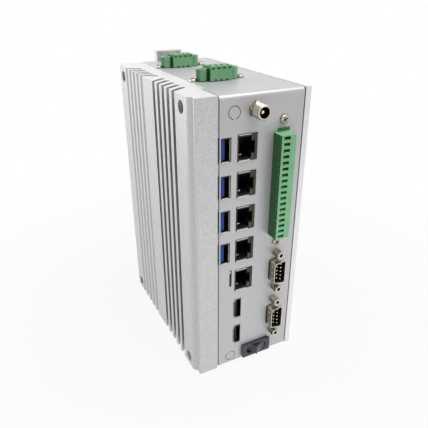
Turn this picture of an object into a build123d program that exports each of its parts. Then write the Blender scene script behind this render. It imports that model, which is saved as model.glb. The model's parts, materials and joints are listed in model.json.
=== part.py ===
from build123d import *
import math
import os

os.makedirs("parts", exist_ok=True)

# Control computer for a 35 mm mounting rail, in millimetres. +Z is up and the port
# panel faces -Y. The origin is the middle of the housing's bottom face.

# Housing
DEPTH = 124.0
HEIGHT = 178.0
SHEET = 1.2
BEND = 2.6
FIT = 0.2
Y_FRONT = -DEPTH / 2
Y_BACK = DEPTH / 2
FACE = Plane(origin=(0, Y_FRONT, 0), x_dir=(1, 0, 0), z_dir=(0, -1, 0))
BACK = Plane(origin=(0, Y_BACK, 0), x_dir=(1, 0, 0), z_dir=(0, -1, 0))
REAR = Plane(origin=(0, Y_BACK, 0), x_dir=(-1, 0, 0), z_dir=(0, 1, 0))
LID = Plane(origin=(0, 0, HEIGHT), x_dir=(1, 0, 0), z_dir=(0, 0, 1))

# Across the front: fin face, narrow strip of the heatsink, panel and cover
FIN_STAND = 2.0
STRIP_WIDTH = 12.6
STRIP_DEPTH = 20.0
SEAM_LEFT = 1.1
PANEL_WIDTH = 51.5
SEAM_RIGHT = 0.8
COVER_DEPTH = 4.5
WIDTH = FIN_STAND + STRIP_WIDTH + SEAM_LEFT + PANEL_WIDTH + SEAM_RIGHT + COVER_DEPTH
X_LEFT = -WIDTH / 2
X_RIGHT = WIDTH / 2
LEFT_SIDE = Plane(origin=(X_LEFT, 0, 0), x_dir=(0, -1, 0), z_dir=(-1, 0, 0))
RIGHT_SIDE = Plane(origin=(X_RIGHT, 0, 0), x_dir=(0, 1, 0), z_dir=(1, 0, 0))

# Heatsink
SINK_THICKNESS = 17.8
X_STRIP = X_LEFT + FIN_STAND
X_SINK_INNER = X_LEFT + SINK_THICKNESS
SLOT_COUNT = 5
SLOT_PITCH = 7.3
SLOT_WIDTH = 3.0
SLOT_LEAN = 35.0
SLOT_DEPTH = 9.2
SLOT_FIRST = 22.15
LIP = 0.4
LIP_LENGTH = 1.6
CORNER_IN = 2.6
CORNER_FOOT = 3.2
CORNER_START = 11.0

# Chassis and cover
X_PANEL = X_STRIP + STRIP_WIDTH + SEAM_LEFT
X_PANEL_END = X_PANEL + PANEL_WIDTH
X_COVER = X_PANEL_END + SEAM_RIGHT
COVER_SHEET = 1.0
COVER_BEND = 1.8
FLANGE = 1.0
FRONT_RETURN = 16.0
SIDE_FLANGE = 10.0

# Screws
M3_SHANK = 1.45
M3_HEAD = 2.75
M3_HEAD_HEIGHT = 1.9
M3_HOLE = 1.6
BORE_RADIUS = 3.5
BORE_DEPTH = 4.5
SINK_SCREW_FRONT = 12.5
SINK_SCREW_BACK = 110.0
SINK_SCREW_EDGE = 6.2
RECESS_WIDTH = 0.7
RECESS_DEPTH = 1.0
COVER_SCREW_INSET = 14.0
STANDOFF_RADIUS = 2.5

# Port columns: places are from the strip's left edge and the housing's bottom
PORT_PITCH = 20.94
BOARD_THICKNESS = 1.6
X_BOARD = X_STRIP + 22.3
BOARD_FRONT = 2.6

DATA_X = X_STRIP + 17.55
DATA_Z = 149.6
DATA_COUNT = 4
DATA_WIDTH = 5.8
DATA_HEIGHT = 13.0
DATA_DEPTH = 14.5
SHELL = 0.35
TONGUE_THICKNESS = 1.7
TONGUE_HEIGHT = 11.0
TONGUE_SIDE_GAP = 0.35
TONGUE_SETBACK = 0.9
CUTOUT_GAP = 0.15
PROUD = 0.3
INSULATOR_LENGTH = 4.0
INSULATOR_REAR = 2.5

NET_X = X_STRIP + 30.4
NET_Z = 149.45
NET_COUNT = 5
NET_WIDTH = 12.0
NET_HEIGHT = 14.9
NET_DEPTH = 21.0
NET_BAY_WIDTH = 7.6
NET_BAY_HEIGHT = 12.0
NET_BAY_DEPTH = 13.0
NET_KEY_WIDTH = 3.2
NET_KEY_HEIGHT = 6.6
LAMP_WIDTH = 2.3
LAMP_HEIGHT = 3.4
LAMP_DEPTH = 8.0
CONTACT_COUNT = 8
CONTACT_PITCH = 1.02
CONTACT_WIDTH = 0.45
CONTACT_THICKNESS = 0.35
CONTACT_RISE = 2.0
CONTACT_START = 2.5

VIDEO_X = X_STRIP + 26.6
VIDEO_Z = (44.4, 23.6)
VIDEO_WIDTH = 5.3
VIDEO_HEIGHT = 14.4
VIDEO_CHAMFER = 2.0
VIDEO_DEPTH = 11.5
VIDEO_TONGUE = 1.3
VIDEO_TONGUE_SHIFT = -0.5
VIDEO_BLOCK = 4.0

CARD_X = X_STRIP + 21.4
CARD_Z = 68.2
CARD_WIDTH = 1.6
CARD_HEIGHT = 11.8
CARD_DEPTH = 15.0
CAGE_WALL = 0.2

JACK_X = X_STRIP + 35.1
JACK_Z = 169.0
JACK_BARREL = 3.9
JACK_BORE = 3.0
JACK_STAND = 8.0
JACK_NUT_CORNER = 5.3
JACK_NUT_HEIGHT = 2.2
JACK_BODY = 5.2
JACK_BODY_DEPTH = 12.0
JACK_PIN = 1.05

KNOCKOUT_X = X_STRIP + 22.2
KNOCKOUT_Z = (168.8, 6.6)
KNOCKOUT_RADIUS = 3.6
KNOCKOUT_GROOVE = 0.4
KNOCKOUT_CUT = 0.35
KNOCKOUT_BRIDGE = 1.2

# Serial connectors
SERIAL_FROM_COVER = 11.9
SERIAL_X = X_PANEL_END - SERIAL_FROM_COVER
SERIAL_Z = (66.1, 30.8)
SERIAL_STAND = 5.9
SERIAL_WIDE = 16.9
SERIAL_NARROW = 13.9
SERIAL_ACROSS = 8.4
SERIAL_CORNER = 1.8
SERIAL_WALL = 0.5
SERIAL_SCREW_SPACING = 25.0
SERIAL_FLANGE = (12.5, 30.8)
SERIAL_FLANGE_SHEET = 0.8
SERIAL_BLOCK_DEPTH = 7.0
PIN_RADIUS = 0.5
PIN_PITCH = 2.77
PIN_ROW = 1.42
PIN_STAND = 4.6
HEX_FLATS = 4.8
HEX_THREAD = 1.2
HEX_THREAD_DEPTH = 5.0
HEX_TAIL = 1.35
DIMPLE_RADIUS = 0.55
DIMPLE_STAND = 0.25

# Terminal plugs: u is across, away from the notched side, v is along the poles and
# h is out of the sheet. The plug overhangs its header on the notched side.
POLE_PITCH = 3.5
PLUG_LOW = -6.6
PLUG_HIGH = 3.5
PLUG_STAND = 8.3
PLUG_GAP = 0.4
PLUG_CHAMFER = 0.9
PLUG_END = 0.15
PLUG_ROOT = 7.0
PLUG_ROOT_HALF = 3.0
WINDOW_WIDTH = 4.0
WINDOW_HEIGHT = 1.9
WINDOW_U = -3.1
WINDOW_DEPTH = 6.0
WINDOW_TAPER = 6.0
NOTCH_DEPTH = 0.8
NOTCH_WIDTH = 2.1
NOTCH_LENGTH = 1.2
NOTCH_SETBACK = 0.6
CLAMP_H = 4.2
CLAMP_RADIUS = 1.2
CLAMP_LENGTH = 2.4
CLAMP_SINK = 0.5
HEADER_HALF = 4.0
HEADER_DEPTH = 11.0
HEADER_CAVITY = 8.0
HEADER_FOOT = 4.0
HEADER_END = 1.55
EAR_SHEET = 2.2
EAR_REACH = 3.2
TERMINAL_PIN = 0.8
BOSS_HOLE = 1.5
BOSS_SINK = 0.6
FLANGE_SCREW = 1.1
FLANGE_THREAD = 6.0
BOSS_RADIUS = 3.2
BOSS_OFFSET = 9.75
BOSS_DROP = 1.5
BOSS_U = -1.2
BOSS_SEAT = 2.0
PANEL_SCREW_HEAD = 2.1
PANEL_SCREW_HEIGHT = 1.8
PANEL_SCREW_SHANK = 1.0
IO_FROM_COVER = 12.1
IO_X = X_PANEL_END - IO_FROM_COVER
IO_Z = 124.1
IO_POLES = 18
IO_SCREW = 37.9
IO_SCREW_U = -0.6
TOP_X = X_STRIP + 32.6
TOP_FROM_FRONT = 41.0
TOP_SPACING = 54.3
TOP_Y = (Y_FRONT + TOP_FROM_FRONT, Y_FRONT + TOP_FROM_FRONT + TOP_SPACING)
TOP_POLES = 4
TOP_SCREW = 15.2
TOP_HEADER_END = 6.0
TOP_EAR_SHORT = 1.4

# Rocker switch
SWITCH_X = X_STRIP + 40.8
SWITCH_Z = 7.8
BEZEL_WIDTH = 20.4
BEZEL_HEIGHT = 9.8
BEZEL_STAND = 2.4
ROCKER_HALF = 7.9
ROCKER_HEIGHT = 7.6
ROCKER_TILT = 12.0
ROCKER_RIDGE = 4.9
ROCKER_END = 3.3
ROCKER_DISH = 0.6
ROCKER_SKIRT = 1.2
ROCKER_GAP = 0.3
AXLE_RADIUS = 0.9
AXLE_REACH = 0.35
AXLE_PLAY = 0.06
SWITCH_WALL = 0.5
SWITCH_WELL = 4.0
SWITCH_WELL_CORNER = 3.0
SWITCH_BODY_DEPTH = 13.0
BLADE_THICKNESS = 0.8
BLADE_WIDTH = 3.2
BLADE_LENGTH = 7.0
BLADE_SPREAD = 5.0

# Rail bracket and latch
CLIP_X = 2.85
RAIL_Z = 100.0
RAIL_HEIGHT = 35.0
BRACKET_HALF = 20.0
BRACKET_FOOT = 2.0
BRACKET_SHEET = 2.0
BRACKET_LOW = 62.0
BRACKET_HIGH = 140.0
HOOK_SLOT = 1.2
HOOK_LIP = 1.9
HOOK_OVERLAP = 3.0
HOOK_ROOT = 3.4
LATCH_HALF = 9.4
LATCH_SHEET = 1.5
LATCH_GAP = 0.25
LATCH_TRAVEL = 4.0
TAB_TOP = 6.5
TAB_LOW = 2.0
TAB_DEPTH = 5.6
TAB_WALL = 1.0
SPRING_RADIUS = 1.6
SPRING_WIRE = 0.28
SPRING_TURNS = 7
SPRING_LENGTH = 18.0
SPRING_RISE = 9.5
SPRING_FOOT = RAIL_Z - RAIL_HEIGHT / 2 + SPRING_RISE
SPRING_WINDOW = 2.5
BRACKET_SCREW_X = 15.0
BRACKET_SCREW_Z = (70.0, 131.0)

# Behind the panel
BACK_SHEET = 1.2
BACK_TAB_INSET = 3.0
BACK_SCREW_INSET = 5.0
BOARD_LOW = 11.0
BOARD_HIGH = 164.0
BOARD_BACK = 8.0
BOARD_SCREW_Y = (-38.0, 46.0)
BOARD_SCREW_Z = (22.0, 152.0)
CHIP_SIZE = 30.0
CHIP_HEIGHT = 1.6
CHIP_Y = 4.0
CHIP_Z = 96.0
BLOCK_SIZE = 38.0
MODULE_LENGTH = 67.6
MODULE_HEIGHT = 30.0
MODULE_THICKNESS = 1.2
MODULE_STAND = 3.0
SOCKET_WIDTH = 6.0
SOCKET_HEIGHT = 5.2
MODULE_Y = 4.0
MODULE_Z = 96.0
CELL_RADIUS = 10.0
CELL_THICKNESS = 3.2
CELL_Y = 34.0
CELL_Z = 32.0
IO_BOARD_FROM_COVER = 5.3
X_IO_BOARD = X_PANEL_END - IO_BOARD_FROM_COVER
IO_BOARD_LENGTH = 56.0
IO_BOARD_LOW = 14.0
IO_BOARD_HIGH = 164.0
IO_STANDOFF_INSET = 5.0
RIBBON_WIDTH = 34.0
RIBBON_THICKNESS = 0.9
RIBBON_Y = -22.0
RIBBON_Z = 60.0
RIBBON_ARCH = 8.0


def countdown(first, count):
    """Heights of a column of equal ports, from the top one down."""
    return [first - k * PORT_PITCH for k in range(count)]


def pan_screw(head, head_height, shank, length):
    """A cross-recess screw: its head stands on the XY plane and its shank goes under it."""
    with BuildPart() as screw:
        with BuildSketch():
            Circle(head)
        extrude(amount=head_height, taper=12)
        with BuildSketch():
            Circle(shank)
        extrude(amount=-length)
        with BuildSketch(Plane.XY.offset(head_height)):
            Rectangle(head * 1.1, RECESS_WIDTH)
            Rectangle(RECESS_WIDTH, head * 1.1)
        extrude(amount=-RECESS_DEPTH, mode=Mode.SUBTRACT)
    return screw.part


def video_outline(grow):
    """The video port's outline: a rectangle with two cut corners on the board's side."""
    half_w = VIDEO_WIDTH / 2 + grow
    half_h = VIDEO_HEIGHT / 2 + grow
    cut = VIDEO_CHAMFER
    with BuildSketch() as outline:
        with BuildLine():
            Polyline(
                (half_w, half_h),
                (half_w, -half_h),
                (-half_w + cut * 0.7, -half_h),
                (-half_w, -half_h + cut),
                (-half_w, half_h - cut),
                (-half_w + cut * 0.7, half_h),
                close=True,
            )
        make_face()
    return outline.sketch


def serial_outline(grow):
    """The serial connector's D: its wide side is at +X and its pin rows run along Z."""
    half_w = SERIAL_ACROSS / 2 + grow
    wide = SERIAL_WIDE / 2 + grow
    narrow = SERIAL_NARROW / 2 + grow
    with BuildSketch() as outline:
        with BuildLine():
            FilletPolyline(
                (half_w, wide),
                (half_w, -wide),
                (-half_w, -narrow),
                (-half_w, narrow),
                close=True,
                radius=SERIAL_CORNER + grow,
            )
        make_face()
    return outline.sketch


# Places worked out from the sizes above
SERIAL_SCREW_Z = [z + side * SERIAL_SCREW_SPACING / 2 for z in SERIAL_Z for side in (-1, 1)]
IO_LENGTH = IO_POLES * POLE_PITCH
IO_CUTOUT = IO_LENGTH + 2 * (HEADER_END + FIT)
IO_SCREW_Z = (IO_Z - IO_SCREW, IO_Z + IO_SCREW)
TOP_LENGTH = TOP_POLES * POLE_PITCH
TOP_CUTOUT = TOP_LENGTH + 2 * (TOP_HEADER_END + FIT)
ROCKER_REACH = math.hypot(ROCKER_HALF, ROCKER_END)
SWITCH_WELL_WIDTH = 2 * (ROCKER_REACH + ROCKER_GAP)
SWITCH_WELL_HEIGHT = ROCKER_HEIGHT + 2 * ROCKER_GAP
SWITCH_BODY_WIDTH = SWITCH_WELL_WIDTH + 2 * SWITCH_WALL
SWITCH_BODY_HEIGHT = SWITCH_WELL_HEIGHT + 2 * SWITCH_WALL
BACK_SEAT = BACK_SHEET + FIT
BACK_TAB_LEFT = X_SINK_INNER + FIT + BACK_TAB_INSET
BACK_TAB_RIGHT = X_PANEL_END - BACK_TAB_INSET
COVER_SCREW_Y = (Y_FRONT + COVER_SCREW_INSET, Y_BACK - COVER_SCREW_INSET)
COVER_SCREW_Z = (SHEET + SIDE_FLANGE / 2, HEIGHT - SHEET - SIDE_FLANGE / 2)
BACK_SCREW_PLACES = [
    (x, z)
    for x in (BACK_TAB_LEFT + BACK_SCREW_INSET, BACK_TAB_RIGHT - BACK_SCREW_INSET)
    for z in COVER_SCREW_Z
]
BRACKET_SCREW_PLACES = [
    (CLIP_X + side * BRACKET_SCREW_X, z) for side in (-1, 1) for z in BRACKET_SCREW_Z
]


# Heatsink
with BuildPart() as heatsink:
    with BuildSketch(Plane.XY) as sink_profile:
        with BuildLine():
            lip_y = Y_FRONT + LIP
            foot_y = Y_FRONT + CORNER_FOOT
            start_y = Y_FRONT + CORNER_START
            FilletPolyline(
                (X_LEFT, start_y),
                (X_LEFT, foot_y + CORNER_IN),
                (X_LEFT + CORNER_IN, foot_y),
                radius=4.0,
            )
            Polyline(
                (X_LEFT + CORNER_IN, foot_y),
                (X_STRIP, Y_FRONT + LIP_LENGTH),
                (X_STRIP, lip_y),
                (X_STRIP + LIP, Y_FRONT),
                (X_STRIP + STRIP_WIDTH, Y_FRONT),
                (X_STRIP + STRIP_WIDTH, Y_FRONT + STRIP_DEPTH),
                (X_SINK_INNER, Y_FRONT + STRIP_DEPTH),
                (X_SINK_INNER, 0),
                (X_LEFT, 0),
                (X_LEFT, start_y),
            )
        make_face()
        first = Vector(X_LEFT + SLOT_DEPTH - SLOT_WIDTH / 2, 0)
        lean = math.radians(SLOT_LEAN)
        run = (SLOT_DEPTH - SLOT_WIDTH / 2) * math.tan(lean)
        reach = 9.0
        slot_places = [
            (
                first.X - reach * math.cos(lean),
                Y_FRONT + SLOT_FIRST + run + k * SLOT_PITCH - reach * math.sin(lean),
            )
            for k in range(SLOT_COUNT)
        ]
        with Locations(*slot_places):
            SlotCenterToCenter(2 * reach, SLOT_WIDTH, rotation=SLOT_LEAN, mode=Mode.SUBTRACT)
        mirror(about=Plane.XZ)
        with Locations((X_STRIP + STRIP_WIDTH, Y_BACK)):
            Rectangle(X_SINK_INNER - X_STRIP - STRIP_WIDTH, STRIP_DEPTH, align=(Align.MIN, Align.MAX))
    extrude(amount=HEIGHT)
    for from_front in (SINK_SCREW_FRONT, SINK_SCREW_BACK):
        for z in (SINK_SCREW_EDGE, HEIGHT - SINK_SCREW_EDGE):
            with Locations(LEFT_SIDE * Location((-(Y_FRONT + from_front), z, 0))):
                CounterBoreHole(M3_HOLE, BORE_RADIUS, BORE_DEPTH)
heatsink.part.label = "heatsink"
export_step(heatsink.part, "parts/heatsink.step")

SINK_SCREW_HEIGHTS = (SINK_SCREW_EDGE, HEIGHT - SINK_SCREW_EDGE)
with BuildPart() as heatsink_screws:
    for from_front in (SINK_SCREW_FRONT, SINK_SCREW_BACK):
        seat = X_PANEL if from_front < STRIP_DEPTH else X_SINK_INNER + FIT
        reach = seat + FLANGE + 1.0 - (X_LEFT + BORE_DEPTH)
        screw = pan_screw(M3_HEAD, M3_HEAD_HEIGHT, M3_SHANK, reach)
        side = -(Y_FRONT + from_front)
        with Locations(*[LEFT_SIDE * Location((side, z, -BORE_DEPTH)) for z in SINK_SCREW_HEIGHTS]):
            add(screw)
heatsink_screws.part.label = "heatsink_screws"
export_step(heatsink_screws.part, "parts/heatsink_screws.step")

# Chassis: one folded sheet makes the port panel, the top and the bottom
with BuildPart() as chassis:
    with BuildSketch(Plane.YZ.offset(X_PANEL)) as fold:
        with BuildLine():
            FilletPolyline(
                (Y_BACK, HEIGHT),
                (Y_FRONT, HEIGHT),
                (Y_FRONT, 0),
                (Y_BACK, 0),
                radius=BEND,
            )
            Line((Y_BACK, 0), (Y_BACK, SHEET))
            FilletPolyline(
                (Y_BACK, SHEET),
                (Y_FRONT + SHEET, SHEET),
                (Y_FRONT + SHEET, HEIGHT - SHEET),
                (Y_BACK, HEIGHT - SHEET),
                radius=BEND - SHEET,
            )
            Line((Y_BACK, HEIGHT - SHEET), (Y_BACK, HEIGHT))
        make_face()
    extrude(amount=PANEL_WIDTH)
    # the top and bottom step back beside the thick part of the heatsink
    notch_width = X_SINK_INNER + FIT - X_PANEL
    with Locations((X_PANEL, Y_FRONT + STRIP_DEPTH - FIT, 0)):
        Box(
            notch_width,
            DEPTH,
            HEIGHT,
            align=(Align.MIN, Align.MIN, Align.MIN),
            mode=Mode.SUBTRACT,
        )
    # left flange behind the panel, right flange beside the cover
    inner_z = HEIGHT / 2
    inner_height = HEIGHT - 2 * SHEET
    front_y = Y_FRONT + SHEET
    with Locations((X_PANEL, front_y, inner_z)):
        Box(FLANGE, FRONT_RETURN, inner_height, align=(Align.MIN, Align.MIN, Align.CENTER))
    with Locations((X_PANEL_END, front_y, inner_z)):
        Box(FLANGE, SIDE_FLANGE, inner_height, align=(Align.MAX, Align.MIN, Align.CENTER))
    # flanges turned in from the top and the bottom
    flange_front = Y_FRONT + STRIP_DEPTH + 2.0
    for z in (SHEET + SIDE_FLANGE / 2, HEIGHT - SHEET - SIDE_FLANGE / 2):
        with Locations((X_SINK_INNER + FIT, flange_front, z)):
            Box(
                FLANGE,
                Y_BACK - BACK_SEAT - flange_front,
                SIDE_FLANGE,
                align=(Align.MIN, Align.MIN, Align.CENTER),
            )
        with Locations((X_PANEL_END, front_y, z)):
            Box(
                FLANGE,
                Y_BACK - BACK_SEAT - front_y,
                SIDE_FLANGE,
                align=(Align.MAX, Align.MIN, Align.CENTER),
            )
    # reliefs in the upper left flange beside the top headers
    for y in TOP_Y:
        with Locations((X_SINK_INNER + FIT, y, HEIGHT - SHEET)):
            Box(
                FLANGE,
                2 * HEADER_HALF + 1.0,
                SIDE_FLANGE,
                align=(Align.MIN, Align.CENTER, Align.MAX),
                mode=Mode.SUBTRACT,
            )
    # tabs at the back ends of the top and the bottom
    for z in (SHEET + SIDE_FLANGE / 2, HEIGHT - SHEET - SIDE_FLANGE / 2):
        with Locations((BACK_TAB_LEFT, Y_BACK - BACK_SHEET, z)):
            Box(
                BACK_TAB_RIGHT - BACK_TAB_LEFT,
                SHEET,
                SIDE_FLANGE,
                align=(Align.MIN, Align.MAX, Align.CENTER),
            )
    # reliefs in the left flange beside the data ports
    with Locations(*[(X_PANEL, front_y, z) for z in countdown(DATA_Z, DATA_COUNT)]):
        Box(
            FLANGE,
            FRONT_RETURN,
            DATA_HEIGHT + 2 * FIT,
            align=(Align.MIN, Align.MIN, Align.CENTER),
            mode=Mode.SUBTRACT,
        )
    # port cut-outs
    with BuildSketch(FACE) as ports:
        with Locations(*[(DATA_X, z) for z in countdown(DATA_Z, DATA_COUNT)]):
            Rectangle(DATA_WIDTH + 2 * CUTOUT_GAP, DATA_HEIGHT + 2 * CUTOUT_GAP)
        with Locations(*[(NET_X, z) for z in countdown(NET_Z, NET_COUNT)]):
            Rectangle(NET_WIDTH + 2 * CUTOUT_GAP, NET_HEIGHT + 2 * CUTOUT_GAP)
        with Locations(*[(VIDEO_X, z) for z in VIDEO_Z]):
            add(video_outline(CUTOUT_GAP))
        with Locations((CARD_X, CARD_Z)):
            Rectangle(CARD_WIDTH, CARD_HEIGHT)
        with Locations((JACK_X, JACK_Z)):
            Circle(JACK_BARREL + FIT)
        with Locations((SWITCH_X, SWITCH_Z)):
            Rectangle(SWITCH_BODY_WIDTH + FIT, SWITCH_BODY_HEIGHT + FIT)
        with Locations(*[(SERIAL_X, z) for z in SERIAL_Z]):
            add(serial_outline(FIT + 0.4))
        with Locations(*[(SERIAL_X, z) for z in SERIAL_SCREW_Z]):
            Circle(HEX_TAIL + FIT)
        with Locations((IO_X, IO_Z)):
            Rectangle(2 * HEADER_HALF, IO_CUTOUT)
        with Locations(*[(IO_X + IO_SCREW_U, z) for z in IO_SCREW_Z]):
            Circle(PANEL_SCREW_SHANK + FIT)
    extrude(amount=-SHEET, mode=Mode.SUBTRACT)
    # stamped knock-outs, still held by a bridge
    with BuildSketch(FACE) as knockouts:
        for k, z in enumerate(KNOCKOUT_Z):
            with Locations((KNOCKOUT_X, z)):
                Circle(KNOCKOUT_RADIUS)
                Circle(KNOCKOUT_RADIUS - KNOCKOUT_GROOVE, mode=Mode.SUBTRACT)
            if k == 0:
                with Locations((KNOCKOUT_X, z - KNOCKOUT_RADIUS)):
                    Rectangle(KNOCKOUT_BRIDGE, 2 * KNOCKOUT_GROOVE + 0.6, mode=Mode.SUBTRACT)
    extrude(amount=-KNOCKOUT_CUT, mode=Mode.SUBTRACT)
    # cut-outs in the top for the two headers
    with BuildSketch(LID) as lid_ports:
        with Locations(*[(TOP_X, y) for y in TOP_Y]):
            Rectangle(TOP_CUTOUT, 2 * HEADER_HALF)
        with Locations(*[(TOP_X + side * TOP_SCREW, y + BOSS_U) for y in TOP_Y for side in (-1, 1)]):
            Circle(PANEL_SCREW_SHANK + FIT)
    extrude(amount=-SHEET, mode=Mode.SUBTRACT)
    # screw holes into the heatsink flanges and the cover side
    for from_front in (SINK_SCREW_FRONT, SINK_SCREW_BACK):
        seat = X_PANEL if from_front < STRIP_DEPTH else X_SINK_INNER + FIT
        hole = Plane(origin=(seat, Y_FRONT + from_front, 0), x_dir=(0, 1, 0), z_dir=(1, 0, 0))
        with BuildSketch(hole):
            with Locations(*[(0, z) for z in SINK_SCREW_HEIGHTS]):
                Circle(M3_SHANK + 0.05)
        extrude(amount=FLANGE, mode=Mode.SUBTRACT)
    with BuildSketch(Plane.YZ.offset(X_PANEL_END)):
        with Locations(*[(y, z) for y in COVER_SCREW_Y for z in COVER_SCREW_Z]):
            Circle(M3_SHANK + 0.05)
    extrude(amount=-FLANGE, mode=Mode.SUBTRACT)
    with BuildSketch(Plane.XZ.offset(-(Y_BACK - BACK_SHEET))):
        with Locations(*BACK_SCREW_PLACES):
            Circle(M3_SHANK + 0.05)
    extrude(amount=SHEET, mode=Mode.SUBTRACT)
chassis.part.label = "chassis"
export_step(chassis.part, "parts/chassis.step")

# Back plate between the folded top and bottom
with BuildPart() as back_plate:
    with BuildSketch(BACK):
        with Locations((X_PANEL_END, HEIGHT / 2)):
            Rectangle(
                X_PANEL_END - X_SINK_INNER - FIT,
                HEIGHT - 2 * (SHEET + FIT),
                align=(Align.MAX, Align.CENTER),
            )
    extrude(amount=BACK_SHEET)
    with BuildSketch(BACK):
        with Locations(*BACK_SCREW_PLACES):
            Circle(M3_HOLE)
        with Locations(*BRACKET_SCREW_PLACES):
            Circle(M3_SHANK + 0.05)
    extrude(amount=BACK_SHEET, mode=Mode.SUBTRACT)
back_plate.part.label = "back_plate"
export_step(back_plate.part, "parts/back_plate.step")

with BuildPart() as back_screws:
    screw = pan_screw(M3_HEAD, M3_HEAD_HEIGHT, M3_SHANK, BACK_SHEET + SHEET + 1.0)
    with Locations(*[REAR * Location((-x, z, 0)) for x, z in BACK_SCREW_PLACES]):
        add(screw)
back_screws.part.label = "back_screws"
export_step(back_screws.part, "parts/back_screws.step")

# Side cover: a shallow folded tray
with BuildPart() as side_cover:
    with Locations((X_COVER, 0, HEIGHT / 2)):
        Box(X_RIGHT - X_COVER, DEPTH, HEIGHT, align=(Align.MIN, Align.CENTER, Align.CENTER))
    outer_face = side_cover.faces().sort_by(Axis.X)[-1]
    fillet(outer_face.edges(), radius=COVER_BEND)
    open_face = side_cover.faces().sort_by(Axis.X)[0]
    offset(amount=-COVER_SHEET, openings=open_face)
    for y in COVER_SCREW_Y:
        for z in COVER_SCREW_Z:
            with Locations(RIGHT_SIDE * Location((y, z, 0))):
                CounterSinkHole(M3_HOLE, M3_HOLE + COVER_SHEET, 3.0)
side_cover.part.label = "side_cover"
export_step(side_cover.part, "parts/side_cover.step")

with BuildPart() as flat_screw:
    with BuildSketch(Plane.XZ):
        with BuildLine():
            Polyline(
                (0, 0),
                (M3_SHANK + COVER_SHEET, 0),
                (M3_SHANK, -COVER_SHEET),
                (M3_SHANK, X_PANEL_END - FLANGE - 1.0 - X_RIGHT),
                (0, X_PANEL_END - FLANGE - 1.0 - X_RIGHT),
                close=True,
            )
        make_face()
    revolve(axis=Axis.Z)
    with BuildSketch():
        Rectangle(M3_SHANK * 2, RECESS_WIDTH)
        Rectangle(RECESS_WIDTH, M3_SHANK * 2)
    extrude(amount=-RECESS_DEPTH, mode=Mode.SUBTRACT)
with BuildPart() as cover_screws:
    with Locations(*[RIGHT_SIDE * Location((y, z, 0)) for y in COVER_SCREW_Y for z in COVER_SCREW_Z]):
        add(flat_screw.part)
cover_screws.part.label = "cover_screws"
export_step(cover_screws.part, "parts/cover_screws.step")

with BuildPart() as cover_standoffs:
    with BuildSketch(Plane.YZ.offset(X_PANEL_END)):
        with Locations(*[(y, z) for y in COVER_SCREW_Y for z in COVER_SCREW_Z]):
            Circle(STANDOFF_RADIUS)
            Circle(M3_SHANK + 0.05, mode=Mode.SUBTRACT)
    extrude(amount=X_RIGHT - COVER_SHEET - X_PANEL_END)
cover_standoffs.part.label = "cover_standoffs"
export_step(cover_standoffs.part, "parts/cover_standoffs.step")

# Data ports: a drawn tube, and an insulator that carries the tongue and reaches the board
for number, z in enumerate(countdown(DATA_Z, DATA_COUNT), start=1):
    with BuildPart() as data_port:
        with BuildSketch(FACE.offset(PROUD)):
            with Locations((DATA_X, z)):
                RectangleRounded(DATA_WIDTH, DATA_HEIGHT, 0.5)
                Rectangle(DATA_WIDTH - 2 * SHELL, DATA_HEIGHT - 2 * SHELL, mode=Mode.SUBTRACT)
        extrude(amount=-(DATA_DEPTH + PROUD))
    data_port.part.label = f"data_port_{number}"
    export_step(data_port.part, f"parts/data_port_{number}.step")

DATA_INNER_LEFT = DATA_X - DATA_WIDTH / 2 + SHELL
TONGUE_X = DATA_INNER_LEFT + TONGUE_SIDE_GAP + TONGUE_THICKNESS / 2
with BuildPart() as data_tongues:
    for z in countdown(DATA_Z, DATA_COUNT):
        with BuildSketch(FACE.offset(-DATA_DEPTH + INSULATOR_LENGTH)):
            with Locations((DATA_X, z)):
                Rectangle(DATA_WIDTH - 2 * SHELL - 0.1, DATA_HEIGHT - 2 * SHELL - 0.1)
        extrude(amount=-INSULATOR_LENGTH)
        with BuildSketch(FACE.offset(-DATA_DEPTH)):
            with Locations((DATA_X - DATA_WIDTH / 2, z)):
                Rectangle(
                    X_BOARD - DATA_X + DATA_WIDTH / 2,
                    DATA_HEIGHT,
                    align=(Align.MIN, Align.CENTER),
                )
        extrude(amount=-INSULATOR_REAR)
        with BuildSketch(FACE.offset(-TONGUE_SETBACK)):
            with Locations((TONGUE_X, z)):
                Rectangle(TONGUE_THICKNESS, TONGUE_HEIGHT)
        extrude(amount=-(DATA_DEPTH - TONGUE_SETBACK - INSULATOR_LENGTH))
data_tongues.part.label = "data_tongues"
export_step(data_tongues.part, "parts/data_tongues.step")

# Network jacks: shield, insert with the plug bay, contact wires, lamps
NET_LEFT = NET_X - NET_WIDTH / 2 + SHELL
NET_BAY_X = NET_LEFT + 0.35 + NET_BAY_WIDTH / 2
NET_KEY_X = NET_BAY_X + NET_BAY_WIDTH / 2
LAMP_X = NET_KEY_X + LAMP_WIDTH / 2
LAMP_Z = NET_HEIGHT / 2 - SHELL - LAMP_HEIGHT / 2
for number, z in enumerate(countdown(NET_Z, NET_COUNT), start=1):
    with BuildPart() as network_jack:
        with BuildSketch(FACE.offset(PROUD)):
            with Locations((NET_X, z)):
                Rectangle(NET_WIDTH, NET_HEIGHT)
        extrude(amount=-(NET_DEPTH + PROUD))
        with BuildSketch(FACE.offset(PROUD)):
            with Locations((NET_X, z)):
                Rectangle(NET_WIDTH - 2 * SHELL, NET_HEIGHT - 2 * SHELL)
        extrude(amount=-(NET_DEPTH + PROUD - SHELL), mode=Mode.SUBTRACT)
    network_jack.part.label = f"network_jack_{number}"
    export_step(network_jack.part, f"parts/network_jack_{number}.step")

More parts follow.
